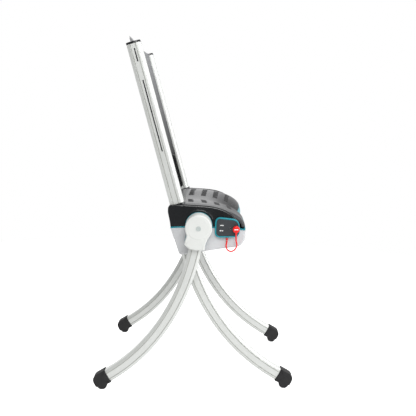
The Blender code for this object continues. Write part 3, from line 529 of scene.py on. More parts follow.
def add_run_map(piece, middles, x_middle):
    """The UV map 'run': across = x and depth added up, along = length down the path."""
    data = piece.data
    layer = data.uv_layers.new(name="run")
    points = np.empty(len(data.vertices) * 3)
    data.vertices.foreach_get("co", points)
    points = points.reshape(-1, 3)
    side = np.stack([-points[:, 1], points[:, 2]], -1)
    run = np.concatenate([[0], np.cumsum(np.hypot(*np.diff(middles, axis=0).T))])
    nearest = np.argmin(((side[:, None, :] - middles[None, ::4, :]) ** 2).sum(-1), axis=1) * 4
    nearest = np.clip(nearest, 0, len(middles) - 1)
    after = np.clip(nearest + 1, 1, len(middles) - 1)
    line = middles[after] - middles[after - 1]
    line /= np.linalg.norm(line, axis=1, keepdims=True)
    offset = side - middles[nearest]
    along = run[nearest] + (offset * line).sum(1)
    across = offset[:, 0] * line[:, 1] - offset[:, 1] * line[:, 0]
    place = np.stack([points[:, 0] - x_middle + across * 1.7, along], -1)
    loops = np.empty(len(data.loops), int)
    data.loops.foreach_get("vertex_index", loops)
    layer.data.foreach_set("uv", place[loops].ravel())


GROOVE_DEPTH = 0.0015


def extrusion_profile(half_x, half_d, facet, grooves=()):
    """The section of a leg or a post: a slanted facet over the first and the last fifth of
    each side, flat between them, with a V-groove at each share of the side given."""
    side = [(half_x - facet, 0.0), (half_x - facet * 0.95, 0.004), (half_x - 0.0003, 0.188),
            (half_x, 0.205)]
    for share in grooves:
        side += [(half_x, share - 0.036), (half_x - GROOVE_DEPTH, share - 0.012),
                 (half_x - GROOVE_DEPTH, share + 0.012), (half_x, share + 0.036)]
    side += [(half_x, 0.795), (half_x - 0.0003, 0.812), (half_x - facet * 0.95, 0.996),
             (half_x - facet, 1.0)]
    outer = np.array(side)
    outer[:, 1] = half_d * (2 * outer[:, 1] - 1)
    return np.vstack([outer, outer[::-1] * (-1, 1)])


# ---- legs and feet ----
class LegPath:
    """A leg's centre line: angle(s) = start + top * s + (foot - top) * s * s / (2 * length)."""

    def __init__(self, direction, top, angle, bend_top, bend_foot, length):
        self.direction, self.top, self.angle = direction, np.array(top), math.radians(angle)
        self.bend_top, self.bend_foot, self.length = bend_top, bend_foot, length

    def trace(self, count=97):
        """Points (forward, up) and the unit vectors square to the path, in its plane."""
        s = np.linspace(0, self.length, (count - 1) * 16 + 1)
        heading = (self.angle + self.bend_top * s
                   + (self.bend_foot - self.bend_top) * s * s / (2 * self.length))
        step = s[1]
        mid = (heading[1:] + heading[:-1]) / 2
        forward = np.concatenate([[0], np.cumsum(self.direction * np.sin(mid) * step)])
        up = np.concatenate([[0], np.cumsum(-np.cos(mid) * step)])
        points = self.top + np.stack([forward, up], -1)
        squares = np.stack([np.cos(heading), self.direction * np.sin(heading)], -1)
        return points[::16], squares[::16]


REAR_PATH = LegPath(-1, (-0.0040, 0.5120), 9.0, 1.10, 1.95, 0.5630)
FRONT_PATH = LegPath(1, (-0.0465, 0.5120), 10.6, 1.36, 1.68, 0.5920)


def make_leg(path, x_middle, name, body):
    """The leg's profile carried down its path."""
    points, squares = path.trace()
    profile = extrusion_profile(LEG_WIDTH / 2, LEG_DEPTH / 2 + LEG_SKIN, 0.0056, (0.255, 0.745))
    swept(name + "_extrusion", points, squares, x_middle, profile, ANODISED, body, name)


def foot_outline(path):
    """Side outline of the rubber boot: from a point inside it, at each angle, the farther of a
    box that sleeves the leg's end, rounded at its outer corner, and of a round pad that stands
    on the floor."""
    points, squares = path.trace()
    end, square = points[-1], squares[-1]
    along = np.array([square[1], -square[0]]) * path.direction
    along = along if along[1] < 0 else -along
    down = square if square[1] < 0 else -square
    half, long = FOOT_HALF, FOOT_LONG
    box = rounded([(0.0, -half, 0.0014), (long, -half, 0.0240), (long, half * 0.50, 0.0030),
                   (long - 0.0100, half * 0.90, 0.0020), (0.0, half, 0.0014)], 14)
    box = even(end + box[:, :1] * along + box[:, 1:] * down, 900)
    centre = end + along * long * 0.5
    away = box - centre
    order = np.argsort(np.arctan2(away[:, 1], away[:, 0]))
    turn = np.linspace(-math.pi, math.pi, 240, endpoint=False)
    reach = np.interp(turn, np.arctan2(away[:, 1], away[:, 0])[order],
                      np.hypot(*away.T)[order], period=2 * math.pi)
    ray = np.stack([np.cos(turn), np.sin(turn)], -1)
    pad = np.array([path.direction * FOOT_FORWARD, FOOT_RADIUS - 0.0005]) - centre
    nearest = ray @ pad
    inside = nearest ** 2 - (pad @ pad - FOOT_RADIUS ** 2)
    circle = np.where(inside > 0, nearest + np.sqrt(np.abs(inside)), 0.0)
    outline = centre + ray * np.maximum(reach, circle)[:, None]
    outline[:, 1] = np.maximum(outline[:, 1], 0.0)
    return outline


def make_foot(path, x_middle, name, body):
    """The boot, rounded over at both flanks, with a moulded line round it."""
    half, edge = 0.0204, 0.0026
    levels = round_over(x_middle, x_middle - half, edge, 7)[::-1]
    levels += [(x_middle - 0.0010, 0.0), (x_middle - 0.0006, 0.0003),
               (x_middle + 0.0006, 0.0003), (x_middle + 0.0010, 0.0)]
    levels += round_over(x_middle, x_middle + half, edge, 7)
    pressed(name + "_boot", foot_outline(path), levels, RUBBER, body, name)


for side, label in SIDES:
    make_leg(REAR_PATH, side * REAR_LEG_X, "rear_leg_" + label, "drive")
    make_leg(FRONT_PATH, side * FRONT_LEG_X, "front_leg_" + label, "seat")
    make_foot(REAR_PATH, side * REAR_LEG_X, "rear_foot_" + label, "drive")
    make_foot(FRONT_PATH, side * FRONT_LEG_X, "front_foot_" + label, "seat")


# ---- hubs ----
def hub_outline(radius, neck=0.0):
    """Round hub with a neck that leans back over the leg."""
    points = arc((0.0, AXIS_UP), radius, -32, 212, 90).tolist()
    low = AXIS_UP
    points += [(-0.0420 - neck, low - 0.0400), (-0.0448 - neck, low - 0.0535 - neck)]
    points += [(-0.0315, low - 0.0657 - neck), (-0.0142, low - 0.0712 - neck)]
    points += [(0.0170, low - 0.0716 - neck), (0.0212 + neck, low - 0.0692 - neck)]
    points += [(0.0240 + neck, low - 0.0500), (0.0300 + neck, low - 0.0350)]
    return soften(even(np.array(points), 220), 3)


def make_hub(side, label):
    """Cover with a rounded edge and a raised disc, sealing plate behind it, centre cap."""
    face = side * (HUB_FACE - 0.0006)
    rim = hub_outline(HUB_RADIUS)
    levels = [(side * (HUB_INNER + 0.0002), 0.0024), (side * (HUB_INNER + 0.0002), 0.0),
              (side * (HUB_INNER + 0.0300), 0.0)]
    levels += round_over(side * HUB_INNER, face, 0.0042, 9)
    levels += [(face, 0.0060)]
    pressed(f"hub_cover_{label}_shell", rim, levels, HUB_ABS, "drive", "hub_cover_" + label)

    def rings(top, steps):
        return [in_space(side * (top - sunk), disc_outline((0.0, AXIS_UP), radius, 96))
                for sunk, radius in steps]

    steps = ((0.0030, 0.0352), (0.0006, 0.0352), (0.0002, 0.0349), (0, 0.0344), (0, 0.0330),
             (0, 0.0120), (0, 0.0092), (0.0003, 0.0090))
    lofted(f"hub_disc_{label}", rings(HUB_FACE, steps), HUB_ABS, "drive", "hub_cover_" + label)

    plate = hub_outline(HUB_RADIUS + 0.0012, 0.0012)
    inner, outer = (side * corner[0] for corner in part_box("hub_seal_left"))
    levels = [(inner, 0.0004), (inner + side * 0.0004, 0.0), (outer - side * 0.0004, 0.0),
              (outer, 0.0004)]
    pressed(f"hub_seal_{label}_plate", plate, levels, TURQUOISE, "drive", "hub_seal_" + label)

    steps = ((0.0040, 0.0050), (0.0013, 0.0078), (0.0005, 0.0080), (0.0001, 0.0076),
             (0, 0.0070), (0.0002, 0.0050), (0.0004, 0.0044), (0.0004, 0.0020))
    lofted(f"hub_cap_{label}_dome", rings(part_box("hub_cap_left")[1][0], steps), CAP_ABS, "drive",
           "hub_cap_" + label)


for side, label in SIDES:
    make_hub(side, label)


# ---- seat body ----
def trim_up(forward):
    """Height of the middle of the coloured band: a shallow arch."""
    return 0.5500 - 0.0050 * ((np.asarray(forward) - 0.0300) / 0.1250) ** 2


def make_lower_shell():
    """The pale tub: flat sides, rounded lower edges, and a soft return under the band."""
    places = np.linspace(SEAT_REAR, SEAT_FRONT, 40)
    rim = np.stack([places, trim_up(places) - TRIM_HEIGHT / 2], -1)
    ring = rounded([(*rim[0], 0.0), (*rim[-1], 0.0), (SEAT_FRONT, 0.4900, 0.040),
                    (0.0800, 0.4785, 0.060), (-0.0620, 0.4520, 0.012)], 24)
    outline = even(np.vstack([rim, ring[48:]]), 420)
    weight = np.clip((trim_up(outline[:, 0]) - 0.0040 - outline[:, 1]) / 0.010, 0, 1)
    levels = round_over(0, -BODY_HALF, 0.0070, 9)[::-1]
    levels += [(x, 0.0) for x in np.linspace(-0.26, 0.26, 27)]
    levels += round_over(0, BODY_HALF, 0.0070, 9)
    pressed("lower_shell_tub", outline, levels, PALE_ABS, "seat", "lower_shell", weight=weight)


make_lower_shell()


def cover_outline():
    """Side outline of the dark side cover, above the band."""
    front_low = np.linspace(0.1370, SEAT_REAR, 30)
    low = np.stack([front_low, trim_up(front_low) + TRIM_HEIGHT / 2 + 0.0002], -1)
    rear = [(-0.0985, 0.5700), (-0.1045, 0.5950), (-0.1045, 0.6100), (-0.1000, 0.6190)]
    crest = np.array([(-0.0496, 0.6240), (0.0017, 0.6226), (0.0348, 0.6201), (0.0680, 0.6148),
                      (0.0947, 0.6047), (0.1151, 0.5903), (0.1289, 0.5741), (0.1362, 0.5576)])
    run = np.linspace(0, len(crest) - 1, 90)
    fitted = np.polyfit(np.arange(len(crest)), crest, 4)
    smooth = np.stack([np.polyval(fitted[:, k], run) for k in (0, 1)], -1)
    return even(np.vstack([low, rear, smooth]), 420)


def make_side_cover(side, label):
    """Satin dark cover: a broad roll along its top and front, and a bead arched over the hub."""
    outline = soften(cover_outline(), 2)
    low = trim_up(outline[:, 0]) + 0.0060
    rise = np.clip((outline[:, 1] - low) / 0.012, 0, 1)
    rearward = np.clip((outline[:, 0] + 0.085) / 0.03, 0.25, 1)
    weight = rise * rearward
    levels = [(side * 0.2630, 0.0010), (side * 0.2630, 0.0)]
    levels += round_over(side * 0.2630, side * BODY_HALF, 0.0075, 12)
    levels += [(side * BODY_HALF, 0.0095)]
    pressed(f"side_cover_{label}_shell", outline, levels, DARK_ABS, "seat",
            "side_cover_" + label, weight=weight)

    turn = np.radians(np.linspace(2, 178, 90))
    ring = around(16)
    wide = 0.0028 * np.clip(np.sin(turn) * 4.0, 0.35, 1.0)
    reach = 0.0502 + wide[:, None] * np.cos(ring)[None, :]
    bead = np.stack([side * (BODY_HALF - 0.0004 + 0.0030 * np.sin(ring))[None, :]
                     + 0 * reach, -reach * np.cos(turn)[:, None],
                     AXIS_UP + reach * np.sin(turn)[:, None]], -1)
    lofted(f"hub_arch_{label}", bead, GLOSS_ABS, "seat", "side_cover_" + label)


for side, label in SIDES:
    make_side_cover(side, label)


def crown(x):
    """Height added across the seat: a ridge under each thigh, a dish between them."""
    ridge = 0.0030 * np.exp(-((np.abs(x) - 0.17) / 0.07) ** 2)
    edge = 0.0040 * np.maximum(np.abs(x) - 0.238, 0.0) / 0.024
    return ridge - edge - 0.0090 * np.exp(-(x / 0.10) ** 2)


def pad_front(x, angle, depth):
    """The seat's rounded front: a superellipse of power 2.15 from its flat top (angle 0) down to
    the band (90 degrees), less a valley between the thighs; depth is measured inwards."""
    start, base_up = PAD_ROLL, 0.5495
    valley = 0.0260 * np.exp(-(x / 0.075) ** 2) * np.sin(angle) ** 2
    reach, rise = SEAT_FRONT - start - depth, PAD_TOP - base_up - depth
    power = 2 / 2.15
    forward = start + reach * np.sin(angle) ** power - valley * 0.55
    up = base_up + rise * np.cos(angle) ** power - valley * np.cos(angle)
    return forward, up + crown(x) * np.cos(angle)


def front_angle(x):
    """Where the pad ends on the front: lower near the sides, where the band is narrow."""
    return np.radians(88.0 - 14.0 * eased(near_edge(PAD_HALF - 0.004 - np.abs(x), 0.040)))


STRIP_PLACES = (-0.0330, 0.0130, 0.0570, 0.0990)
STRIP_REACH = (0.060, 0.210)
FLAT_SHARE = 0.22


def make_pad():
    """The seat pad: a grid across the seat and along it, rolled at the front and at both sides,
    with four grip strips under each thigh; closed underneath."""
    rows, columns = 241, 150
    widest = math.pi / 2 * 0.985
    x = (PAD_HALF * np.sin(np.linspace(-1, 1, rows) * widest) / math.sin(widest))[:, None]
    share = np.linspace(0, 1, columns)[None, :]
    flat = np.clip(share / FLAT_SHARE, 0, 1)
    bend = np.clip((share - FLAT_SHARE) / (1 - FLAT_SHARE), 0, 1)
    angle = front_angle(x) * (bend * 0.98 + 0.02 * (share > FLAT_SHARE))

    def surface(depth):
        forward, up = pad_front(x, angle, depth)
        rear_up = PAD_TOP - depth + crown(x) - 0.004 * (1 - flat) ** 2
        flat_forward = SEAT_REAR + (PAD_ROLL - SEAT_REAR) * flat
        on_front = share > FLAT_SHARE
        return np.where(on_front, forward, flat_forward), np.where(on_front, up, rear_up)

    top_f, top_u = surface(0.0)
    low_f, low_u = surface(PAD_THICK)
    # the edges roll over: the outer surface sinks by a quarter circle near both sides
    edge = near_edge(np.abs(x) - (PAD_HALF - 0.009), 0.009)
    sink = 1 - np.sqrt(1 - (edge * 0.985) ** 2)
    top_f = top_f + (low_f - top_f) * sink * 0.75
    top_u = top_u + (low_u - top_u) * sink * 0.75
    strip = np.zeros_like(top_f)
    inside = (near_edge(np.abs(x) - STRIP_REACH[0], 0.003)
              * near_edge(STRIP_REACH[1] - np.abs(x), 0.003))
    for index, place in enumerate(STRIP_PLACES):
        slant = place + 0.003 * (np.abs(x) - 0.15) / 0.06
        half = 0.0096 - 0.0012 * (index == 3)
        near = near_edge(half - np.abs(top_f - slant), 0.0012)
        strip = np.maximum(strip, near * inside)
    top_u = top_u - 0.0008 * strip * np.cos(angle)
    top_f = top_f - 0.0008 * strip * np.sin(angle)
    # painted shade on the front of the pad, stored as the valley attribute: it grows from 15 mm to
    # 125 mm forward, strongest in the middle, weakest near the sides
    front_shade_ramp = eased(near_edge(top_f - 0.015, 0.110))
    valley = front_shade_ramp * (0.55 + 0.45 * np.exp(-(x / 0.12) ** 2)
                    - 0.25 * near_edge(np.abs(x) - 0.20, 0.05))
    rings = plate_rings(x, np.stack([top_f, top_u], -1), np.stack([low_f, low_u], -1))
    pad = lofted("seat_pad_foam", rings, FOAM, "seat", "seat_pad", smooth_angle=50.0)
    zeros = np.zeros_like(strip)
    paint(pad, rings.reshape(-1, 3), {"strip": np.concatenate([strip, zeros], 1).ravel(),
                                      "valley": np.concatenate([valley, zeros], 1).ravel()})
    cut_post_corners(pad)


def post_frame(along, across):
    """A point (forward, up) from its place along the post and ahead of its centre line."""
    along, across = np.asarray(along, float), np.asarray(across, float)
    return np.stack([POST_BASE[0] - along * math.sin(LEAN) + across * math.cos(LEAN),
                     POST_BASE[1] + along * math.cos(LEAN) + across * math.sin(LEAN)], -1)


def carve(piece, rings):
    """Takes the closed solid through rings of points out of a piece."""
    rings = np.asarray(rings, float)
    rows, count = rings.shape[:2]
    ends = [list(range(count))[::-1], list(range((rows - 1) * count, rows * count))]
    faces = grid_faces(rows, count) + ends
    cutter = put("cutter", closed_mesh("cutter", rings.reshape(-1, 3), faces))
    step = piece.modifiers.new("carve", "BOOLEAN")
    step.operation = "DIFFERENCE"
    step.object = cutter
    step.solver = "MANIFOLD"
    bpy.context.view_layer.update()
    graph = bpy.context.evaluated_depsgraph_get()
    cut = bpy.data.meshes.new_from_object(piece.evaluated_get(graph))
    piece.modifiers.clear()
    piece.data = cut
    bpy.data.objects.remove(cutter, do_unlink=True)


def cut_post_corners(pad):
    """Takes the two rear corners of the pad away, where the posts go down."""
    for side in (-1, 1):
        block = post_frame([-0.10, -0.10, 0.10, 0.10], [-0.08, 0.0268, 0.0268, -0.08])
        carve(pad, [in_space(side * (POST_IN - 0.0030), block), in_space(side * 0.32, block)])


make_pad()


def make_trim_band():
    """The coloured band: one loop of a rounded strip along the sides, and a taller front."""
    rows, steps = 161, 18
    x = np.linspace(-1, 1, rows)[:, None] * (BODY_HALF - 0.0012)
    share = np.linspace(0, 1, steps)[None, :]
    start = front_angle(x) + math.radians(0.7)
    angle = start + (math.pi / 2 - start) * share
    foot = float(trim_up(SEAT_FRONT)) - TRIM_HEIGHT / 2 + 0.0003
    faces = []
    for depth in (0.0, 0.0036):
        forward, up = pad_front(x, angle, depth)
        faces.append(np.stack([np.hstack([forward, forward[:, -1:]]),
                               np.hstack([up, np.full((rows, 1), foot)])], -1))
    lofted("front_band", plate_rings(x, *faces), TURQUOISE, "seat", "trim_band")
    places = np.linspace(SEAT_REAR, SEAT_FRONT - 0.0006, 90)
    line = np.stack([places, trim_up(places)], -1)
    half = TRIM_HEIGHT / 2 - 0.0001
    section = soften(rounded([(-0.0060, -half, 0.0005), (0.0002, -half, 0.0010),
                              (0.0002, half, 0.0010), (-0.0060, half, 0.0005)], 5), 1)
    for side, label in SIDES:
        x_all = side * (BODY_HALF + section[:, 0])
        rings = np.stack(np.broadcast_arrays(x_all, -line[:, :1], line[:, 1:] + section[:, 1]), -1)
        lofted("side_band_" + label, rings, TURQUOISE, "seat", "trim_band")


make_trim_band()


def make_rear_cover():
    """The dark panel across the back: a soft plate with a shallow grip recess."""
    low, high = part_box("rear_cover")
    rows, columns = 121, 30
    x = np.linspace(low[0], high[0], rows)[:, None]
    share = np.linspace(0, 1, columns)[None, :]
    up = low[2] + (high[2] - low[2]) * share
    back = -SEAT_REAR + 0.0060 * share
    edge = least(near_edge(share, 0.08), near_edge(1 - share, 0.08),
                 near_edge(high[0] - np.abs(x), 0.006))
    roll = 0.0022 * (1 - np.sqrt(1 - (1 - edge) ** 2))
    recess = (0.0016 * near_edge(0.075 - np.abs(x), 0.006)
              * near_edge(0.30 - np.abs(share - 0.55), 0.10))
    outer = back - roll - recess
    faces = [np.stack(np.broadcast_arrays(-face, up, x)[:2], -1)
             for face in (outer, back - 0.0036)]
    lofted("rear_cover_plate", plate_rings(x, *faces), DARK_ABS, "seat", "rear_cover")


make_rear_cover()


# ---- backrest ----
def post_rings(profile, x_middle, steps):
    """Rings of a section at steps (place along the post, scale)."""
    return [in_space(x_middle + profile[:, 0] * size,
                     post_frame(np.full(len(profile), run), profile[:, 1] * size))
            for run, size in steps]


def make_post(side, label):
    """Extruded post with its cap, its two inlay strips and the collar it slides through."""
    body = "backrest_" + label
    x_middle = side * (POST_IN + POST_OUT) / 2
    half_x, half_d = (POST_OUT - POST_IN) / 2, POST_DEPTH / 2
    along = np.linspace(-SOCKET_DEPTH, POST_LENGTH, 40)
    line = post_frame(along, np.zeros(40))
    square = np.tile([math.cos(LEAN), math.sin(LEAN)], (40, 1))
    profile = extrusion_profile(half_x, half_d, 0.0072, (0.255, 0.625))
    swept(f"post_{label}_extrusion", line, square, x_middle, profile, ANODISED, body,
          "post_" + label)

    face = side * POST_OUT
    for name, low, high in (("lower", 0.1806, 0.4190), ("upper", 0.4800, 0.5240)):
        runs = np.linspace(low, high, 12)
        strip = np.stack([post_frame(runs, np.full(12, -0.0027)),
                          post_frame(runs, np.full(12, 0.0013))])
        outline = np.vstack([strip[0], strip[1][::-1]])
        levels = [(face - side * 0.0006, 0.0), (face + side * 0.00010, 0.0),
                  (face + side * 0.00022, 0.0002)]
        pressed(f"inlay_{name}_{label}", outline, levels, DARK_ABS, body, "post_inlay_" + label)

    cap_profile = extrusion_profile(half_x + 0.0002, half_d + 0.0002, 0.0070)
    steps = [(POST_LENGTH + rise, size) for rise, size in
             ((-0.0022, 1.0), (0.0034, 1.0), (0.0046, 0.975), (0.0050, 0.93))]
    rings = post_rings(cap_profile, x_middle, steps)
    lofted(f"post_cap_{label}_plug", rings, DARK_ABS, body, "post_cap_" + label)

    collar = extrusion_profile(half_x + 0.0026, half_d + 0.0030, 0.0080)
    inner = extrusion_profile(half_x + 0.0003, half_d + 0.0003, 0.0068)
    rings = post_rings(collar, x_middle, ((-0.0100, 1.0), (-0.0020, 1.0), (0.0006, 0.985),
                                          (0.0014, 0.955)))
    rings += post_rings(inner, x_middle, ((0.0014, 1.0), (-0.0100, 1.0)))
    hollow("post_collar_" + label, rings, DARK_ABS)


PANEL_DISH, PANEL_RISE = 0.0300, 0.0500
SEAM_UP, SEAM_DROP = 0.1950, 0.0560


def panel_across(x):
    """Front face of the back panel, ahead of the post's centre line: hollow to the middle."""
    return 0.0080 - PANEL_DISH * (1 - (np.abs(x) / POST_IN) ** 2)


def panel_top(x):
    """Top edge of the back panel along the post: it rises to the middle."""
    share = np.clip(1 - np.abs(x) / POST_IN, 0, 1)
    return POST_LENGTH + 0.0060 + PANEL_RISE * np.sin(share * math.pi / 2) ** 1.3


def make_panels(side, label):
    """Upper and lower back panels: thin curved plates with rolled edges, the lower one set
    back; the seam between them slants down towards the post."""
    body = "backrest_" + label
    for name, node, skin, back in (("upper_back_", "back_panel_", BACK_PP, 0.0),
                                   ("lower_back_", "lower_back_panel_", LOW_PP, 0.0030)):
        upper = name == "upper_back_"
        rows, columns = 70, 60
        share = np.linspace(0, 1, rows)[:, None]
        distance = 0.0011 + (POST_IN - 0.0015) * share
        down = np.linspace(0, 1, columns)
        low = SEAM_UP + 0.0002 - SEAM_DROP * share if upper else 0.0125
        high = panel_top(distance) - 0.0003 if upper else SEAM_UP - SEAM_DROP * share
        along = low + (high - low) * down
        slope = np.arctan(2 * PANEL_DISH * distance / POST_IN ** 2)
        thick = 0.0046 / np.cos(slope)
        edge = near_edge(least(along - low, high - along, distance - 0.0009), 0.0016)
        roll = thick * 0.5 * (1 - np.sqrt(1 - (1 - edge) ** 2))
        across = panel_across(distance) - back
        front = across - roll
        rear = across - thick + roll
        rings = plate_rings(side * distance, post_frame(along, front), post_frame(along, rear))
        lofted(name + label, rings, skin, body, node + label, smooth_angle=50.0)


for side, label in SIDES:
    make_post(side, label)
    make_panels(side, label)


# ---- control panel ----
PANEL_CORNERS = ((0.0535, 0.5870, 0.019), (0.1335, 0.5800, 0.028),
                 (0.1370, 0.5215, 0.024), (0.0530, 0.5170, 0.019))
RIM = 0.0048
PANEL_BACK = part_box("panel_rim")[1][0]
PANEL_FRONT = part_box("panel_rim")[0][0]
FACE_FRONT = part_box("control_panel")[0][0]


def panel_loop():
    """The panel's outline, rounded more at the front than at the rear."""
    return soften(even(rounded(PANEL_CORNERS, 12), 240), 4)


def make_rim(sign, name):
    """The turquoise frame round the panel: a half-round bead on a flange, all the way round."""
    loop = panel_loop()
    square = inward(loop)
    back, front = sign * abs(PANEL_BACK), sign * abs(PANEL_FRONT)
    bead = [(0.0030 * (1 - math.sin(a)), RIM / 2 * (1 - math.cos(a)))
            for a in np.linspace(0.2, math.pi / 2, 6)]
    bead += [(sunk, RIM - inset) for sunk, inset in bead[-2::-1]]
    section = [(back, 0.0), (front - sign * 0.0030, 0.0)]
    section += [(front - sign * sunk, inset) for sunk, inset in bead] + [(back, RIM)]
    rings = [in_space(x, loop + square * inset) for x, inset in section]
    hollow(name + "_bead", rings, TURQUOISE, name)


def key_loop(forward, up, half_wide, half_high, count=72):
    """A superellipse of power 2.6."""
    turn = around(count)
    c, s = np.cos(turn), np.sin(turn)
    return np.stack([forward + half_wide * np.sign(c) * np.abs(c) ** 0.77,
                     up + half_high * np.sign(s) * np.abs(s) ** 0.77], -1)


def key_shape(name, spare):
    """A key's middle (forward, up) and its half sizes with some to spare."""
    low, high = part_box(name)
    return (-(low[1] + high[1]) / 2, (low[2] + high[2]) / 2,
            (high[1] - low[1]) / 2 + spare, (high[2] - low[2]) / 2 + spare)


def make_face(sign, name):
    """The dark membrane inside the rim, slightly crowned."""
    loop = panel_loop()
    loop = loop + inward(loop) * (RIM + 0.0003)
    front = sign * abs(FACE_FRONT)
    levels = [(sign * 0.2745, 0.0), (front - sign * 0.0010, 0.0), (front - sign * 0.0003, 0.0003),
              (front, 0.0012), (front, 0.0060)]
    face = pressed(name + "_membrane", loop, levels, KEYPAD, "seat", name)
    if name == "control_panel":
        for key in ("up_button", "down_button"):
            well = key_loop(*key_shape(key, 0.0002))
            carve(face, [in_space(front - 0.0040, well), in_space(front + 0.0022, well)])


for sign, rim_name, face_name in ((-1, "panel_rim", "control_panel"),
                                  (1, "left_panel_rim", "left_panel")):
    make_rim(sign, rim_name)
    make_face(sign, face_name)


def make_keys():
    """Two soft keys with generic raised and lowered signs: a head, a body and an arrow."""
    for name, body, sign in (("up_button", "up_key", 1), ("down_button", "down_key", -1)):
        low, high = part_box(name)
        forward, up, wide, tall = key_shape(name, -0.0001)
        levels = [(high[0], 0.0), (low[0] + 0.0008, 0.0), (low[0] + 0.0003, 0.0004),
                  (low[0], 0.0012), (low[0] + 0.0001, 0.0030)]
        pressed(name + "_key", key_loop(forward, up, wide, tall), levels, KEYPAD, body, name)
        face = low[0]
        thick = [(face + 0.0004, 0.0), (face - 0.00012, 0.0)]
        dot = disc_outline((forward - 0.0030, up), 0.0016, 24)
        bar = bar_outline(forward - 0.0057, up, 0.0005, 0.0016, 0.0003, 3)
        neck = bar_outline(forward + 0.0005, up, 0.0017, 0.0006, 0.0002, 3)
        tip = np.array([(forward + 0.0020, up - 0.0022 * sign), (forward + 0.0062, up),
                        (forward + 0.0020, up + 0.0022 * sign)])
        for part, shape in (("dot", dot), ("bar", bar), ("stem", neck), ("arrow", tip)):
            pressed(f"{name}_{part}", shape, thick, WHITE_INK, body, name)
    ring = arc((0.1047, 0.5495), 0.0036, 50, 310, 40)
    inner = arc((0.1047, 0.5495), 0.0031, 310, 50, 40)
    face = FACE_FRONT
    pressed("lamp_ring", np.vstack([ring, inner]), [(face + 0.0004, 0.0), (face - 0.00012, 0.0)],
            SOFT_GREY_INK, "seat")


make_keys()


def make_flap():
    """The round flap over the charging socket on the left panel."""
    circle = disc_outline((0.0950, 0.5500), 0.0098, 72)
    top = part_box("left_panel")[1][0]
    levels = [(abs(FACE_FRONT) - 0.0006, 0.0), (top - 0.0003, 0.0), (top, 0.0006),
              (top, 0.0030), (top - 0.0003, 0.0036)]
    pressed("socket_flap", circle, levels, RUBBER, "seat")


make_flap()


# ---- stop key and its lanyard ----
KEY_FORWARD, KEY_UP = 0.1235, 0.5484
KEY_X, ANCHOR_X = -0.2935, -0.2810
LANYARD_RADIUS = 0.0023


def round_rings(x, forward, up, size, count, across=1.0):
    """Round rings of the given sizes, one above another, scaled across."""
    turn = around(count)
    size, up = size[:, None], up[:, None] + 0 * turn
    return np.stack([x + size * np.cos(turn) * across, -forward + size * np.sin(turn), up], -1)


def make_stop_key():
    """Red pull-out key: a domed head, a pin, and a tail that tapers into the cord."""
    low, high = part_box("stop_key")
    circle = disc_outline((KEY_FORWARD, KEY_UP), 0.0115, 96)
    levels = [(-0.2872, 0.0012), (-0.2876, 0.0004), (-0.2886, 0.0), (low[0] + 0.0030, 0.0),
              (low[0] + 0.0014, 0.0004), (low[0] + 0.0004, 0.0014), (low[0], 0.0030),
              (low[0] + 0.0002, 0.0060), (low[0] + 0.0003, 0.0110)]
    head = pressed("stop_key_head", circle, levels, RED_PP, "pull_key")
    pin = pressed("stop_key_pin", disc_outline((KEY_FORWARD, KEY_UP), 0.0040, 32),
                  [(high[0], 0.0006), (high[0] - 0.0006, 0.0), (-0.2890, 0.0)], STEEL,
                  "pull_key")
    rise = np.linspace(0, 1, 24)
    flat = np.clip(1.25 - rise * 0.6, 0.6, 1)[:, None]
    rings = round_rings(KEY_X, KEY_FORWARD, low[2] + 0.0002 + (KEY_UP - 0.0050 - low[2]) * rise,
                        0.0021 + 0.0032 * rise ** 1.6, 28, flat)
    tail = lofted("stop_key_tail", rings, RED_PP, "pull_key")
    bar = bar_outline(KEY_FORWARD, KEY_UP, 0.0062, 0.0015, 0.0008, 4)
    mark = pressed("stop_key_bar", bar, [(low[0] + 0.0012, 0.0), (low[0] + 0.00002, 0.0)],
                   WHITE_INK, "pull_key")
    for piece in (head, pin, tail, mark):
        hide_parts("stop_key")


LANYARD_ROUTE = ((0.0942, 0.5090), (0.0944, 0.5035), (0.0926, 0.4950), (0.0932, 0.4852),
                 (0.0990, 0.4765), (0.1089, 0.4734), (0.1187, 0.4778), (0.1257, 0.4880),
                 (0.1270, 0.4985), (0.1246, 0.5090), (0.1237, 0.5190), (0.1235, 0.5240))


def smooth_route(points, per_leg):
    """A Catmull-Rom curve through the points."""
    points = np.asarray(points, float)
    ends = np.vstack([2 * points[0] - points[1], points, 2 * points[-1] - points[-2]])
    t = np.linspace(0, 1, per_leg, endpoint=False)[:, None]
    line = []
    for a, b, c, d in zip(ends, ends[1:], ends[2:], ends[3:]):
        line.append(0.5 * (2 * b + (c - a) * t + (2 * a - 5 * b + 4 * c - d) * t * t
                           + (3 * b - a - 3 * c + d) * t ** 3))
    return np.vstack(line + [points[-1:]])


def make_lanyard():
    """The cord from its anchor under the panel to the key's tail: a round tube about the
    route, with a cone at its anchor."""
    share = np.linspace(0, 1, len(LANYARD_ROUTE))
    x = ANCHOR_X + (KEY_X - ANCHOR_X) * eased(share)
    route = np.array([(a, -f, u) for a, (f, u) in zip(x, LANYARD_ROUTE)])
    line = smooth_route(route, 8)
    along = np.gradient(line, axis=0)
    along /= np.linalg.norm(along, axis=1, keepdims=True)
    first = np.cross(along, np.array([1.0, 0.0, 0.0]))
    first /= np.linalg.norm(first, axis=1, keepdims=True)
    second = np.cross(along, first)
    turn = around(16)[None, :, None]
    rings = line[:, None] + LANYARD_RADIUS * (np.cos(turn) * first[:, None]
                                              + np.sin(turn) * second[:, None])
    cord = lofted("stop_lanyard_cord", rings, RED_PP, None, "stop_lanyard")
    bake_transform(cord)

    low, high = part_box("lanyard_anchor")
    rise = np.linspace(0, 1, 14)
    rings = round_rings(ANCHOR_X, 0.0942, low[2] + (high[2] - low[2]) * rise,
                        0.0023 + 0.0026 * rise ** 1.4, 32)
    lofted("lanyard_anchor_cone", rings, RED_PP, "seat", "lanyard_anchor")


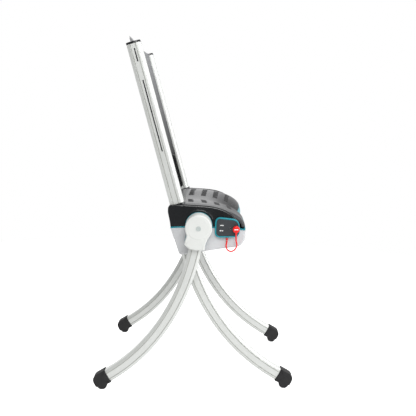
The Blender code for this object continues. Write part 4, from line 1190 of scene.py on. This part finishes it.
make_stop_key()
make_lanyard()


# ---- CAD nodes that keep their shape get their finish ----
KEPT = {"cross_shaft": STEEL, "drive_gear": STEEL, "drive_pinion": STEEL, "gear_motor": CAST,
        "battery_pack": WRAP, "control_board": BOARD, "front_crossbar": CAST,
        "rear_crossbar": CAST, "front_screw": STEEL, "rear_screw": STEEL}
for _, label in SIDES:
    KEPT.update({"hub_core_" + label: CAST, "shaft_bearing_" + label: STEEL,
                 "frame_side_" + label: CAST, "post_socket_" + label: CAST,
                 "leg_socket_" + label: CAST})
for node, skin in KEPT.items():
    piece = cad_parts[node]
    piece.data.materials.clear()
    piece.data.materials.append(skin)


# ---- floor, light ----
GLOW_NEAR, GLOW_FAR, FLOOR_GLOW = 0.30, 1.2, 0.44


def make_stage():
    """A round white paper floor that melts into the white round it."""
    made, tree, shader, place = start_material("studio_paper", "#FFFFFF", 0.9)
    paper = add(tree, "ShaderNodeTexNoise", {"Scale": 3.0}, Vector=(place, "Object"))
    mix = blend_to(tree, "#BEBEBE", "#C4C4C4", (paper, "Fac"))
    tree.links.new(mix_result(mix), shader.inputs["Base Color"])
    rim = arc((0.0, 0.0), 2.6, 0, 360, 97)[:-1]
    data = bpy.data.meshes.new("floor")
    data.from_pydata([(x, y, 0.0) for x, y in rim.tolist()], [], [list(range(96))])
    data.materials.append(made)
    floor = put("floor", data)
    shader.inputs["Emission Color"].default_value = (1, 1, 1, 1)
    seen = add(tree, "ShaderNodeLightPath")
    lift = ramp(tree, seen, "Is Camera Ray", FLOOR_GLOW, 1.0, 0.0, 1.0)
    tree.links.new(lift.outputs["Result"], shader.inputs["Emission Strength"])


def area_light(name, place, target, size, power):
    """A soft rectangular light aimed at a point."""
    data = bpy.data.lights.new(name, "AREA")
    data.shape = "RECTANGLE"
    data.size, data.size_y = size
    data.energy = power
    lamp = put(name, data)
    back = np.array(place, float) - np.array(target, float)
    back /= np.linalg.norm(back)
    right = np.cross([0.0, 0.0, 1.0], back)
    right /= np.linalg.norm(right)
    lamp.matrix_world = turned(right, np.cross(back, right), back, place)


def make_light():
    """White to look at. The glow on the chair is brightest from beyond it and above, and dim
    from the side that the camera stands on; a soft key stands in front of the chair."""
    world = bpy.data.worlds.new("studio")
    world.use_nodes = True
    tree = world.node_tree
    place = add(tree, "ShaderNodeTexCoord")
    parts = add(tree, "ShaderNodeSeparateXYZ", Vector=(place, "Generated"))
    far = ramp(tree, parts, "X", GLOW_NEAR, GLOW_FAR, -0.5, 0.7)
    seen = add(tree, "ShaderNodeLightPath")
    level = add(tree, "ShaderNodeMix", {"data_type": "FLOAT"})
    values = [s for s in level.inputs if s.type == "VALUE"]
    values[2].default_value = 1.0
    tree.links.new(seen.outputs["Is Camera Ray"], values[0])
    tree.links.new(far.outputs["Result"], values[1])
    tree.links.new(next(s for s in level.outputs if s.type == "VALUE"),
                   tree.nodes["Background"].inputs["Strength"])
    tree.nodes["Background"].inputs["Color"].default_value = (1, 1, 1, 1)
    bpy.context.scene.world = world
    area_light("front_key", (-1.2, -3.0, 1.9), (0, 0, 0.6), (1.6, 2.2), 52)
    area_light("side_fill", (-3.2, -0.6, 3.0), (0, 0, 0.5), (2.0, 2.0), 95)
    bpy.context.scene.view_settings.view_transform = "Standard"


make_stage()
make_light()
